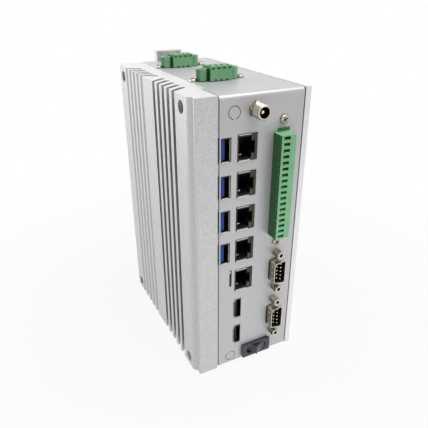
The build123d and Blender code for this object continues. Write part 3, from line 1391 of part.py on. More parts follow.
with BuildPart() as thermal_block:
    with Locations((X_SINK_INNER, CHIP_Y, CHIP_Z)):
        Box(
            X_BOARD - CHIP_HEIGHT - X_SINK_INNER,
            BLOCK_SIZE,
            BLOCK_SIZE,
            align=(Align.MIN, Align.CENTER, Align.CENTER),
        )
thermal_block.part.label = "thermal_block"
export_step(thermal_block.part, "parts/thermal_block.step")

with BuildPart() as memory_socket:
    with Locations((X_BOARD_FAR, MODULE_Y, MODULE_Z - MODULE_LENGTH / 2 + SOCKET_WIDTH / 2)):
        Box(SOCKET_HEIGHT, MODULE_HEIGHT, SOCKET_WIDTH, align=(Align.MIN, Align.CENTER, Align.CENTER))
    with Locations((X_BOARD_FAR + MODULE_STAND, MODULE_Y, MODULE_Z - MODULE_LENGTH / 2 + SOCKET_WIDTH)):
        Box(
            MODULE_THICKNESS + 0.1,
            MODULE_HEIGHT - 2.0,
            SOCKET_WIDTH / 2,
            align=(Align.MIN, Align.CENTER, Align.MAX),
            mode=Mode.SUBTRACT,
        )
memory_socket.part.label = "memory_socket"
export_step(memory_socket.part, "parts/memory_socket.step")

with BuildPart() as memory_module:
    with Locations((X_BOARD_FAR + MODULE_STAND, MODULE_Y, MODULE_Z - MODULE_LENGTH / 2 + SOCKET_WIDTH / 2)):
        Box(
            MODULE_THICKNESS,
            MODULE_HEIGHT - 2.2,
            MODULE_LENGTH - SOCKET_WIDTH / 2,
            align=(Align.MIN, Align.CENTER, Align.MIN),
        )
memory_module.part.label = "memory_module"
export_step(memory_module.part, "parts/memory_module.step")

with BuildPart() as coin_cell:
    with BuildSketch(Plane.YZ.offset(X_BOARD_FAR)):
        with Locations((CELL_Y, CELL_Z)):
            Circle(CELL_RADIUS)
    extrude(amount=CELL_THICKNESS)
coin_cell.part.label = "coin_cell"
export_step(coin_cell.part, "parts/coin_cell.step")

with BuildPart() as io_board:
    with BuildSketch(Plane.YZ.offset(X_IO_BOARD)):
        with Locations((Y_FRONT + BOARD_FRONT, IO_BOARD_LOW)):
            Rectangle(
                IO_BOARD_LENGTH,
                IO_BOARD_HIGH - IO_BOARD_LOW,
                align=(Align.MIN, Align.MIN),
            )
    extrude(amount=BOARD_THICKNESS)
io_board.part.label = "io_board"
export_step(io_board.part, "parts/io_board.step")

IO_STANDOFF_Z = (IO_BOARD_LOW + IO_STANDOFF_INSET, IO_BOARD_HIGH - IO_STANDOFF_INSET)
with BuildPart() as io_standoffs:
    with BuildSketch(Plane.YZ.offset(X_IO_BOARD + BOARD_THICKNESS)):
        with Locations(*[(Y_FRONT + SHEET + SIDE_FLANGE / 2, z) for z in IO_STANDOFF_Z]):
            RegularPolygon(STANDOFF_RADIUS, 6)
    extrude(amount=X_PANEL_END - FLANGE - X_IO_BOARD - BOARD_THICKNESS)
io_standoffs.part.label = "io_standoffs"
export_step(io_standoffs.part, "parts/io_standoffs.step")

with BuildPart() as board_ribbon:
    with BuildSketch(Plane.XY.offset(RIBBON_Z - RIBBON_WIDTH / 2)):
        with BuildLine():
            middle = (X_BOARD_FAR + X_IO_BOARD) / 2
            back_y = RIBBON_Y + RIBBON_THICKNESS
            ThreePointArc((X_BOARD_FAR, RIBBON_Y), (middle, RIBBON_Y + RIBBON_ARCH), (X_IO_BOARD, RIBBON_Y))
            Line((X_IO_BOARD, RIBBON_Y), (X_IO_BOARD, back_y))
            ThreePointArc((X_IO_BOARD, back_y), (middle, back_y + RIBBON_ARCH), (X_BOARD_FAR, back_y))
            Line((X_BOARD_FAR, back_y), (X_BOARD_FAR, RIBBON_Y))
        make_face()
    extrude(amount=RIBBON_WIDTH)
board_ribbon.part.label = "board_ribbon"
export_step(board_ribbon.part, "parts/board_ribbon.step")
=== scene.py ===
"""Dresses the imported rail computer: finishes, connector details, lights and camera."""

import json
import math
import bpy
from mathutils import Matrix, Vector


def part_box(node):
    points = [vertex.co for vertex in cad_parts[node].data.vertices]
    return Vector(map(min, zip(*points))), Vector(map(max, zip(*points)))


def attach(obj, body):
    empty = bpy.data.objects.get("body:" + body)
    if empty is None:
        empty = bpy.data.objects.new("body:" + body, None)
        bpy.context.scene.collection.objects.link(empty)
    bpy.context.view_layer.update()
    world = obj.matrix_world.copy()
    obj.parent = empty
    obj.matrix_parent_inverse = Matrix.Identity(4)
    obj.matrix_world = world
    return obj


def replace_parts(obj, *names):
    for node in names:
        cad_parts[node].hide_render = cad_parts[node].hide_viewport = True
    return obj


bl_info = {
    "name": "Rail Computer Dressing",
    "version": (1, 0, 0),
    "blender": (4, 5, 0),
    "location": "View3D > Sidebar > Rail Computer",
    "description": "Finishes and connector details for a control computer on a mounting rail",
    "category": "Object",
}

import bmesh
import bpy
from mathutils import Matrix, Vector

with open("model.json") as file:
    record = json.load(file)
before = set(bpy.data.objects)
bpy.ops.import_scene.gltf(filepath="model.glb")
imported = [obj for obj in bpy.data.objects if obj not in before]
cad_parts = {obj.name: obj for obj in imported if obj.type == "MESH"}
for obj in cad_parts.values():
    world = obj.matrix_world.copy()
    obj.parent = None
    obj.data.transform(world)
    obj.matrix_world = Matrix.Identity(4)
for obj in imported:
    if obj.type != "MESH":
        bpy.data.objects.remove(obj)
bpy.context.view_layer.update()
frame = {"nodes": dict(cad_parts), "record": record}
MM = 0.001

# The photograph's camera, solved from the object's own edges
CAMERA_PLACE = (-0.12360, -0.26005, 0.22555)
CAMERA_TURN = math.radians(-26.73)
CAMERA_DROP = math.radians(26.622)
CAMERA_ROLL = math.radians(-0.149)
CAMERA_LENS = 38.107
SENSOR_WIDTH = 36.0

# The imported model's places that no node's box gives
FACE_Y = -62.0 * MM
TOP_Z = 178.0 * MM
SEAM_X = -21.1 * MM
SEAM_WIDTH = 1.1 * MM
COVER_SEAM_X = 31.35 * MM
JACK_X, JACK_Z = 0.85 * MM, 169.0 * MM
KNOCKOUT_X = -12.05 * MM
KNOCKOUT_HEIGHTS = (168.8 * MM, 6.6 * MM)
CARD_X, CARD_Z = -12.95 * MM, 68.2 * MM
SERIAL_X = 19.05 * MM
SERIAL_HEIGHTS = (66.1 * MM, 30.8 * MM)
VIDEO_X = -7.65 * MM
VIDEO_HEIGHTS = (44.4 * MM, 23.6 * MM)
IO_SCREWS = [(18.25 * MM, z * MM) for z in (86.2, 162.0)]
TOP_PLUG_X = -1.65 * MM
SWITCH_X, SWITCH_Z = 6.55 * MM, 7.8 * MM
ROCKER_TILT = math.radians(-12)
TOP_SCREW_REACH, TOP_SCREW_BACK = 15.2 * MM, 5.4 * MM
PORT_PITCH = 20.94 * MM
POLE_PITCH = 3.5 * MM
# How far up a pitch the upper lamp of a network jack starts
LAMP_SPLIT = 7.0 * MM
DATA_PORTS = [f"data_port_{number}" for number in range(1, 5)]
NETWORK_JACKS = [f"network_jack_{number}" for number in range(1, 6)]
TOP_PLUGS = ["top_plug_1", "top_plug_2"]
# The edges of small moulded and pressed parts are rounded by this much
SOFT_EDGE = 0.1 * MM


def linear(hex_colour):
    """Turns an sRGB hex colour such as #a0a0a4 into linear red, green and blue."""
    values = [int(hex_colour[k : k + 2], 16) / 255 for k in (1, 3, 5)]
    return tuple(v / 12.92 if v <= 0.04045 else ((v + 0.055) / 1.055) ** 2.4 for v in values)


def opaque(colour):
    """A colour of three parts, given the alpha that a node's socket wants."""
    return (colour[0], colour[1], colour[2], 1.0)


def shade(colour, factor):
    """The same colour, lighter or darker, held below white."""
    return tuple(min(1.0, c * factor) for c in colour[:3])


# Settings that a user would change


class FinishSettings(bpy.types.PropertyGroup):
    """Colours of the object's main finishes."""

    heatsink: bpy.props.FloatVectorProperty(
        name="Heatsink",
        description="Colour of the blasted and anodised extrusion",
        subtype="COLOR",
        default=linear("#c6c6c7"),
    )
    housing: bpy.props.FloatVectorProperty(
        name="Housing",
        description="Colour of the silver powder coat on the folded sheet",
        subtype="COLOR",
        default=linear("#bababc"),
    )
    cover: bpy.props.FloatVectorProperty(
        name="Side cover",
        description="Colour of the paler coat on the side cover",
        subtype="COLOR",
        default=linear("#e2e2e6"),
    )
    terminal: bpy.props.FloatVectorProperty(
        name="Terminal plugs",
        description="Colour of the moulded terminal plugs",
        subtype="COLOR",
        default=linear("#77ae81"),
    )
    switch: bpy.props.FloatVectorProperty(
        name="Switch",
        description="Colour of the rocker and its bezel",
        subtype="COLOR",
        default=linear("#33333b"),
    )
    tongue: bpy.props.FloatVectorProperty(
        name="Data port tongues",
        description="Colour of the moulded tongues in the data ports",
        subtype="COLOR",
        default=linear("#02379c"),
    )


class PortSettings(bpy.types.PropertyGroup):
    """Sizes of the small parts in the connectors."""

    strip_width: bpy.props.FloatProperty(
        name="Contact strip width",
        description="Width of a contact strip on a data port's tongue",
        subtype="DISTANCE",
        unit="LENGTH",
        default=1.0 * MM,
        min=0.2 * MM,
        max=2.0 * MM,
        precision=5,
    )
    leaf_width: bpy.props.FloatProperty(
        name="Spring leaf width",
        description="Width of a spring leaf in a data port's shell",
        subtype="DISTANCE",
        unit="LENGTH",
        default=2.2 * MM,
        min=0.5 * MM,
        max=4.0 * MM,
        precision=5,
    )
    cage_wall: bpy.props.FloatProperty(
        name="Clamp cage wall",
        description="Thickness of the wire clamps inside the terminal plugs",
        subtype="DISTANCE",
        unit="LENGTH",
        default=0.35 * MM,
        min=0.1 * MM,
        max=0.8 * MM,
        precision=5,
    )
    thread_pitch: bpy.props.FloatProperty(
        name="Jack thread pitch",
        description="Pitch of the thread on the power jack's barrel",
        subtype="DISTANCE",
        unit="LENGTH",
        default=0.7 * MM,
        min=0.3 * MM,
        max=1.5 * MM,
        precision=5,
    )


class StageSettings(bpy.types.PropertyGroup):
    """Light levels and the pale surroundings."""

    sky_light: bpy.props.FloatProperty(
        name="Surrounding light",
        description="Strength of the even light from all sides",
        default=0.22,
        min=0.0,
        max=2.0,
    )
    key_power: bpy.props.FloatProperty(
        name="Key light",
        description="Power of the large soft light above, in front and to the right",
        subtype="POWER",
        default=43.0,
        min=0.0,
    )
    side_power: bpy.props.FloatProperty(
        name="Side light",
        description="Power of the soft light behind and to the left",
        subtype="POWER",
        default=7.6,
        min=0.0,
    )
    low_power: bpy.props.FloatProperty(
        name="Low light",
        description="Power of the long low light in front, which lifts the lower half",
        subtype="POWER",
        default=0.3,
        min=0.0,
    )
    floor_colour: bpy.props.FloatVectorProperty(
        name="Floor",
        description="Colour of the floor",
        subtype="COLOR",
        default=linear("#b0b0b0"),
    )


# Finishes


def add_node(tree, kind, inputs=None, **settings):
    """Adds a node: settings are its own fields, inputs are socket values or links."""
    made = tree.nodes.new(kind)
    for field, value in settings.items():
        setattr(made, field, value)
    for socket, value in (inputs or {}).items():
        if isinstance(value, bpy.types.NodeSocket):
            tree.links.new(value, made.inputs[socket])
        else:
            made.inputs[socket].default_value = value
    return made


def start_material(name):
    """An empty node material with its output, and the object's own coordinates."""
    material = bpy.data.materials.new(name)
    material.use_nodes = True
    tree = material.node_tree
    tree.nodes.clear()
    place = add_node(tree, "ShaderNodeTexCoord").outputs["Object"]
    return material, tree, place


def grain(tree, place, size, detail=2.0, stretch=(1.0, 1.0, 1.0)):
    """Noise whose blotches are size metres across, longer along an axis with stretch below 1."""
    mapped = add_node(tree, "ShaderNodeMapping", {"Vector": place, "Scale": stretch})
    inputs = {
        "Vector": mapped.outputs["Vector"],
        "Scale": 1.0 / size,
        "Detail": detail,
        "Roughness": 0.55,
    }
    return add_node(tree, "ShaderNodeTexNoise", inputs).outputs["Fac"]


def tint(tree, value, colour, low, high, spread=0.16):
    """A colour that the noise moves between low and high times itself."""
    ramp = add_node(tree, "ShaderNodeValToRGB", {"Fac": value})
    ramp.color_ramp.elements[0].position = 0.5 - spread
    ramp.color_ramp.elements[1].position = 0.5 + spread
    ramp.color_ramp.elements[0].color = opaque(shade(colour, low))
    ramp.color_ramp.elements[1].color = opaque(shade(colour, high))
    return ramp.outputs["Color"]


def by_facing(tree, ways, toward, away):
    """One colour on the faces that look certain ways, and another on the rest.

    A way is an axis, and the normal's parts along it where the first colour starts and
    where it is full.
    """
    normal = add_node(tree, "ShaderNodeNewGeometry").outputs["Normal"]
    parts = add_node(tree, "ShaderNodeSeparateXYZ", {"Vector": normal})
    share = 0.0
    for axis, start, full in ways:
        looks = add_node(
            tree,
            "ShaderNodeMapRange",
            {"Value": parts.outputs[axis], "From Min": start, "From Max": full},
        ).outputs["Result"]
        share = add_node(
            tree, "ShaderNodeMath", {0: share, 1: looks}, operation="MAXIMUM"
        ).outputs[0]
    # the sockets of a Mix node share their names: 0, 6, 7 and 2 are the ones for colours
    return add_node(
        tree, "ShaderNodeMix", {0: share, 6: away, 7: toward}, data_type="RGBA"
    ).outputs[2]


def finish_surface(tree, colour, gloss=None, relief=None, **values):
    """Ends a material in a surface.

    gloss is a noise with the roughness at its low and high ends, relief a noise with its
    depth in metres and its strength. What is the same all over goes in by the socket's name.
    """
    if gloss:
        noise, low, high = gloss
        values["Roughness"] = add_node(
            tree,
            "ShaderNodeMapRange",
            {"Value": noise, "From Min": 0.3, "From Max": 0.7, "To Min": low, "To Max": high},
        ).outputs["Result"]
    if relief:
        noise, depth, strength = relief
        values["Normal"] = add_node(
            tree, "ShaderNodeBump", {"Height": noise, "Distance": depth, "Strength": strength}
        ).outputs["Normal"]
    surface = add_node(tree, "ShaderNodeBsdfPrincipled", {"Base Color": colour, **values})
    add_node(tree, "ShaderNodeOutputMaterial", {"Surface": surface.outputs["BSDF"]})


def chosen(field):
    """A colour from the finish settings."""
    return tuple(getattr(bpy.context.scene.rail_finish, field))


def blasted_anodised_aluminium():
    """Extruded aluminium, bead blasted and clear anodised.

    The blasting gives a fine even sparkle and a soft sheen. The saw-cut ends that look up carry
    saw marks and are painted lighter than the sides, a painted highlight for the light from
    above.
    """
    material, tree, place = start_material("blasted_anodised_aluminium")
    # beads leave dimples of about 0.1 mm; drawn at 0.8 mm so that they show
    bead = grain(tree, place, 0.8 * MM, detail=3.0)
    # the dye bath leaves wide soft clouds in the gloss
    cloud = grain(tree, place, 30.0 * MM)
    side = tint(tree, bead, chosen("heatsink"), 0.88, 1.08)
    # saw marks of about 0.4 mm across the ends
    marks = grain(tree, place, 0.4 * MM, stretch=(0.05, 1.0, 1.0))
    # painted highlight: faces that look up take this lighter colour, with the saw marks in it
    saw_marked_painted_bright_top = tint(tree, marks, linear("#dcdcdc"), 0.96, 1.02)
    finish_surface(
        tree,
        by_facing(tree, [("Z", 0.9, 0.99)], saw_marked_painted_bright_top, side),
        gloss=(cloud, 0.42, 0.5),
        relief=(bead, 0.02 * MM, 0.5),
        Metallic=0.55,
    )
    return material


def silver_powder_coat(name, field):
    """Folded steel sheet with a silver powder coat: a dense grain with metal flakes."""
    material, tree, place = start_material(name)
    # the coat's grain is 0.2 to 0.5 mm, and its gloss drifts over 45 mm or so
    flake = grain(tree, place, 0.4 * MM, detail=3.0)
    cloud = grain(tree, place, 45.0 * MM)
    finish_surface(
        tree,
        tint(tree, flake, chosen(field), 0.92, 1.07),
        gloss=(cloud, 0.36, 0.44),
        relief=(flake, 0.03 * MM, 0.5),
        Metallic=0.3,
    )
    return material


def plated_metal(
    name, hex_colour, roughness, scratch=0.05, streak=(1.0, 1.0, 1.0), side=None, painted_lit_top=True
):
    """Plated steel or zinc: a mirror softened by handling marks, with faint blooms.

    A side colour is painted shade on faces that look across the panel, such as shanks; faces that
    look to the front keep the plate's own colour, and with the flag for tops so do faces that
    look up.
    """
    material, tree, place = start_material(name)
    # handling marks about 0.3 mm wide, blooms about 3 mm
    mark = grain(tree, place, 0.3 * MM, detail=4.0, stretch=streak)
    bloom = grain(tree, place, 3.0 * MM)
    colour = tint(tree, bloom, linear(hex_colour), 0.9, 1.06)
    # painted shade: faces that look neither to the front nor, with the flag, up take the darker
    # side colour
    if side is not None:
        bright = [("Y", -0.3, -0.7)]
        if painted_lit_top:
            bright.append(("Z", 0.3, 0.9))
        colour = by_facing(tree, bright, colour, opaque(linear(side)))
    finish_surface(
        tree,
        colour,
        gloss=(mark, roughness - scratch, roughness + scratch),
        relief=(mark, 0.01 * MM, 0.35),
        Metallic=1.0,
    )
    return material


def moulded_plastic(name, colour, roughness, texture_mm=0.35, painted_shade_left=None):
    """Moulded plastic from a spark-eroded tool: a fine matte texture, no metal.

    A colour given for the faces that look to -X is painted shade on them.
    """
    material, tree, place = start_material(name)
    # a spark texture is about 0.1 mm; drawn coarser so that it shows, over 9 mm flow marks
    pore = grain(tree, place, texture_mm * MM, detail=3.0)
    flow = grain(tree, place, 9.0 * MM)
    shown = tint(tree, flow, colour, 0.95, 1.05)
    # painted shade: faces that look to -X take the darker colour
    if painted_shade_left is not None:
        shown = by_facing(tree, [("X", -0.6, -0.95)], opaque(linear(painted_shade_left)), shown)
    finish_surface(
        tree,
        shown,
        gloss=(pore, roughness - 0.05, roughness + 0.05),
        relief=(pore, 0.015 * MM, 0.5),
        IOR=1.49,
    )
    return material


def lamp_lens():
    """Clear moulded light guides, unlit: the upper one of a jack is amber, the lower one grey."""
    material, tree, place = start_material("polycarbonate_lamp_lens")
    height = add_node(tree, "ShaderNodeSeparateXYZ", {"Vector": place}).outputs["Z"]
    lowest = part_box("jack_lamps")[0][2]
    # the lamps repeat with the jacks: the lower part of each pitch holds the grey one
    above = add_node(tree, "ShaderNodeMath", {0: height, 1: lowest}, operation="SUBTRACT")
    in_pitch = add_node(
        tree, "ShaderNodeMath", {0: above.outputs[0], 1: PORT_PITCH}, operation="MODULO"
    )
    upper = add_node(
        tree, "ShaderNodeMath", {0: in_pitch.outputs[0], 1: LAMP_SPLIT}, operation="GREATER_THAN"
    )
    colour = add_node(tree, "ShaderNodeValToRGB", {"Fac": upper.outputs[0]})
    colour.color_ramp.interpolation = "CONSTANT"
    colour.color_ramp.elements[0].color = opaque(linear("#33332f"))
    colour.color_ramp.elements[1].position = 0.5
    colour.color_ramp.elements[1].color = opaque(linear("#241d05"))
    # the guides' long sides lie in the dark of the jack
    dark = opaque(linear("#141414"))
    lens = by_facing(tree, [("Y", -0.5, -0.9)], colour.outputs["Color"], dark)
    # a moulded guide is hazy in patches of about a millimetre
    haze = grain(tree, place, 1.2 * MM)
    finish_surface(tree, lens, gloss=(haze, 0.12, 0.22), IOR=1.58)
    return material


def solder_mask():
    """Glass-fibre board under green solder mask: tracks show as faint lighter lines."""
    material, tree, place = start_material("solder_mask")
    # tracks about 0.5 mm wide in runs along the board
    track = grain(tree, place, 0.5 * MM, stretch=(1.0, 1.0, 0.12))
    mask = tint(tree, track, linear("#1d5a3a"), 0.8, 1.35, 0.04)
    finish_surface(tree, mask, relief=(track, 0.02 * MM, 0.5), Roughness=0.35)
    return material


FINISHES = {
    "anodised_aluminium": blasted_anodised_aluminium,
    "painted_sheet": lambda: silver_powder_coat("silver_powder_coat", "housing"),
    # bright zinc on steel screws is slightly warm and not quite a mirror
    "zinc_screw": lambda: plated_metal("bright_zinc_plate", "#b9b09c", 0.3),
    # nickel on the jack and jackscrews is warm and shiny
    # its side colour is painted shade on the faces that look across the panel
    "plated_zinc": lambda: plated_metal("bright_nickel_plate", "#c9c4b8", 0.24, side="#857b68"),
    # tinned sheet shells are pale, with soft blooms
    # its side colour is painted shade on the faces that look across the panel
    "tinned_shell": lambda: plated_metal("tin_plated_steel", "#d8d3c4", 0.28, side="#8f897e"),
    # hot-dip galvanised bracket: pale grey with wide blooms
    "galvanised_steel": lambda: plated_metal("galvanised_steel", "#c4bfbb", 0.42, 0.08),
    # drawn spring wire, dark and oiled
    "spring_steel": lambda: plated_metal("oiled_spring_steel", "#5d5e60", 0.34),
    # polyamide terminal plugs, slightly chalky
    # the plugs' faces that look to -X are painted dark green, painted shade
    "green_plastic": lambda: moulded_plastic(
        "green_polyamide", chosen("terminal"), 0.5, painted_shade_left="#1d5529"
    ),
    # glass-filled insulators, nearly black
    "black_plastic": lambda: moulded_plastic("black_polyester", linear("#121217"), 0.5),
    # the rocker's harder plastic takes a satin shine
    "dark_switch_plastic": lambda: moulded_plastic(
        "satin_abs", chosen("switch"), 0.3, texture_mm=0.5
    ),
    # dyed polyamide tongues, matte
    "blue_plastic": lambda: moulded_plastic("blue_polyamide", chosen("tongue"), 0.6),
    "lamp_plastic": lamp_lens,
    # gold flash over nickel on contacts
    # its side colour is painted shade on every face but those that look to the front, tops
    # included
    "contact_brass": lambda: plated_metal(
        "gold_flash", "#d6cca2", 0.25, side="#2f2a1c", painted_lit_top=False
    ),
    "circuit_board": solder_mask,
    # moulded epoxy, very dark and dull
    "chip_plastic": lambda: moulded_plastic("moulded_epoxy", linear("#242424"), 0.55),
    # milled block with fine tool lines along Y
    "bare_aluminium": lambda: plated_metal(
        "milled_aluminium", "#d4d5d8", 0.3, streak=(1.0, 0.06, 1.0)
    ),
    # the coin cell's pressed can, close to a mirror
    "cell_steel": lambda: plated_metal("stainless_steel", "#cfcfce", 0.24),
    # PVC ribbon, grey and slightly glossy
    "ribbon_plastic": lambda: moulded_plastic("pvc_ribbon", linear("#9a9ba0"), 0.4),
}


def dull_nickel():
    """Nickel on drawn steel, painted a dark olive grey: painted shade for the ports' deep shells.
    """
    held = bpy.data.materials.get("dull_nickel")
    return held or plated_metal("dull_nickel", "#4e4a3a", 0.36)


def worn_nickel():
    """Nickel on the video ports' shells, given a mid olive grey, with painted shade on the faces
    that look across the panel.
    """
    held = bpy.data.materials.get("worn_nickel")
    return held or plated_metal("worn_nickel", "#a8a598", 0.32, side="#5c594a")


# Nodes whose finish differs from the rest of their slot
VARIANTS = {
    # painted shade: the shells of the data ports and network jacks take the nickel painted dark,
    # those of the video ports the mid one
    **dict.fromkeys(DATA_PORTS + NETWORK_JACKS, dull_nickel),
    **dict.fromkeys(["video_port_1", "video_port_2"], worn_nickel),
    # the tongues in the video ports are duller than the other insulators
    "video_tongues": lambda: moulded_plastic("matt_polyester", linear("#0a0a0c"), 0.7),
    # the cover's coat is paler than the panel's
    "side_cover": lambda: silver_powder_coat("pale_powder_coat", "cover"),
    # the header under the plug is the same polyamide painted darker, a painted shade for its
    # place under the plug
    "io_header": lambda: moulded_plastic("dark_green_polyamide", linear("#3d7249"), 0.5),
    # the jack's centre pin is nickel all over
    "power_jack_pin": lambda: plated_metal("nickel_pin", "#dcd8cb", 0.2),
    # the switch body is the same satin plastic as its rocker
    "switch_body": lambda: finish_of("dark_switch_plastic"),
}


def finish_of(slot_name):
    """The material of a slot, made once."""
    for held in bpy.data.materials:
        if held.get("slot") == slot_name:
            return held
    made = FINISHES[slot_name]()
    made["slot"] = slot_name
    return made


def dress(slots):
    """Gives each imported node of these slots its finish."""
    for entry in frame["record"]["subparts"]:
        if entry["material_slot"] in slots:
            node = frame["nodes"][entry["node"]]
            node.data.materials.clear()
            variant = VARIANTS.get(entry["node"])
            finish = variant() if variant else finish_of(entry["material_slot"])
            node.data.materials.append(finish)


# Shapes


def add_block(bm, centre, size, rounding=0.0, turn=None):
    """A block from a cube, with its edges bevelled."""
    matrix = Matrix.Translation(centre)
    if turn is not None:
        matrix = matrix @ turn
    matrix = matrix @ Matrix.Diagonal((*size, 1.0))
    made = bmesh.ops.create_cube(bm, size=1.0, matrix=matrix)
    if rounding > 0.0:
        edges = list({edge for vert in made["verts"] for edge in vert.link_edges})
        bmesh.ops.bevel(
            bm,
            geom=edges,
            offset=rounding,
            offset_type="OFFSET",
            affect="EDGES",
            segments=2,
            profile=0.5,
            material=-1,
        )


def on_face(x, z, turn=0.0):
    """A frame on the port panel: local X is across, local Y is up, local Z is outwards."""
    lay = Matrix.Translation((x, FACE_Y, z)) @ Matrix.Rotation(math.pi / 2, 4, "X")
    return lay @ Matrix.Rotation(turn, 4, "Z")


def add_turned(bm, profile, place, steps, angle=math.tau):
    """Spins a closed profile of radius and height about the local Z of a frame."""
    before = set(bm.verts)
    ring = [bm.verts.new((radius, 0.0, height)) for radius, height in profile]
    edges = [bm.edges.new((ring[k - 1], ring[k])) for k in range(len(ring))]
    full = abs(angle - math.tau) < 1e-6
    ends = bmesh.ops.spin(
        bm,
        geom=ring + edges,
        cent=(0, 0, 0),
        axis=(0, 0, 1),
        angle=angle,
        steps=steps,
        use_merge=full,
    )["geom_last"]
    if not full:
        bmesh.ops.edgeloop_fill(bm, edges=edges)
        bmesh.ops.edgeloop_fill(bm, edges=[e for e in ends if isinstance(e, bmesh.types.BMEdge)])
    made = [vert for vert in bm.verts if vert not in before]
    bmesh.ops.transform(bm, matrix=place, verts=made)


def add_rounded_loop(bm, corners, radius):
    """A closed loop of edges through four corners, which it rounds."""
    ring = [bm.verts.new(corner) for corner in corners]
    edges = [bm.edges.new((ring[k - 1], ring[k])) for k in range(4)]
    rounded = bmesh.ops.bevel(
        bm,
        geom=ring,
        offset=radius,
        offset_type="OFFSET",
        affect="VERTICES",
        segments=6,
        profile=0.5,
        material=-1,
    )
    made = {edge for vert in rounded["verts"] for edge in vert.link_edges}
    return list(made | {edge for edge in edges if edge.is_valid})


def add_rounded_ring(bm, width, height, radius):
    """A loop in the local XY plane: a rectangle with rounded corners."""
    u, v = width / 2, height / 2
    return add_rounded_loop(bm, ((u, v, 0.0), (-u, v, 0.0), (-u, -v, 0.0), (u, -v, 0.0)), radius)


def raise_faces(bm, faces, height):
    """Extrudes faces along the local Z."""
    made = bmesh.ops.extrude_face_region(bm, geom=faces)["geom"]
    tops = [item for item in made if isinstance(item, bmesh.types.BMVert)]
    bmesh.ops.translate(bm, verts=tops, vec=(0, 0, height))


def add_pan_screw(heads, cross_shade, place, radius, height):
    """A domed head on a frame, and a near-black cross in it: painted shade for the cross recess.
    """
    rim = height * 0.45
    add_turned(
        heads,
        [
            (0.05 * radius, 0.0),
            (radius, 0.0),
            (radius, rim),
            (radius * 0.9, height * 0.78),
            (radius * 0.66, height * 0.95),
            (0.05 * radius, height),
        ],
        place,
        steps=32,
    )
    # painted shade: the cross recess is two near-black blocks
    for turn in (0.4, 0.4 + math.pi / 2):
        before = set(cross_shade.verts)
        add_block(cross_shade, (0, 0, height * 0.86), (radius * 1.25, radius * 0.24, height * 0.32))
        made = [vert for vert in cross_shade.verts if vert not in before]
        bmesh.ops.transform(cross_shade, matrix=place @ Matrix.Rotation(turn, 4, "Z"), verts=made)


def make_piece(bm, name, slot_name, body="housing", smooth=False):
    """Turns a bmesh into a piece that takes a slot's finish and rides on a body."""
    bmesh.ops.remove_doubles(bm, verts=bm.verts, dist=1e-7)
    bmesh.ops.recalc_face_normals(bm, faces=bm.faces)
    mesh = bpy.data.meshes.new(name)
    bm.to_mesh(mesh)
    bm.free()
    for face in mesh.polygons:
        face.use_smooth = smooth
    piece = bpy.data.objects.new(name, mesh)
    bpy.context.scene.collection.objects.link(piece)
    mesh.materials.append(finish_of(slot_name))
    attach(piece, body)
    return piece


class RAIL_OT_housing(bpy.types.Operator):
    """Finishes the heatsink, the folded sheets and their screws"""

    bl_idname = "rail.housing"
    bl_label = "Housing"

    def execute(self, context):
        dress({"anodised_aluminium", "painted_sheet", "zinc_screw"})
        return {"FINISHED"}


class RAIL_OT_connectors(bpy.types.Operator):
    """Finishes the connectors' shells, insulators, pins and lamps"""

    bl_idname = "rail.connectors"
    bl_label = "Connectors"

    def execute(self, context):
        dress({"tinned_shell", "plated_zinc", "black_plastic", "blue_plastic"})
        dress({"lamp_plastic", "contact_brass"})
        return {"FINISHED"}


class RAIL_OT_terminals(bpy.types.Operator):
    """Finishes the terminal plugs and their headers"""

    bl_idname = "rail.terminals"
    bl_label = "Terminal Plugs"

    def execute(self, context):
        dress({"green_plastic"})
        return {"FINISHED"}


class RAIL_OT_switch(bpy.types.Operator):
    """Finishes the rocker switch, bezel included"""

    bl_idname = "rail.switch"
    bl_label = "Rocker Switch"

    def execute(self, context):
        dress({"dark_switch_plastic"})
        return {"FINISHED"}


class RAIL_OT_clip(bpy.types.Operator):
    """Finishes the rail bracket, its latch and the spring"""

    bl_idname = "rail.clip"
    bl_label = "Rail Clip"

    def execute(self, context):
        dress({"galvanised_steel", "spring_steel"})
        return {"FINISHED"}


class RAIL_OT_inside(bpy.types.Operator):
    """Finishes the boards and what they carry"""

    bl_idname = "rail.inside"
    bl_label = "Boards Inside"

    def execute(self, context):
        dress({"circuit_board", "chip_plastic", "bare_aluminium", "cell_steel", "ribbon_plastic"})
        return {"FINISHED"}


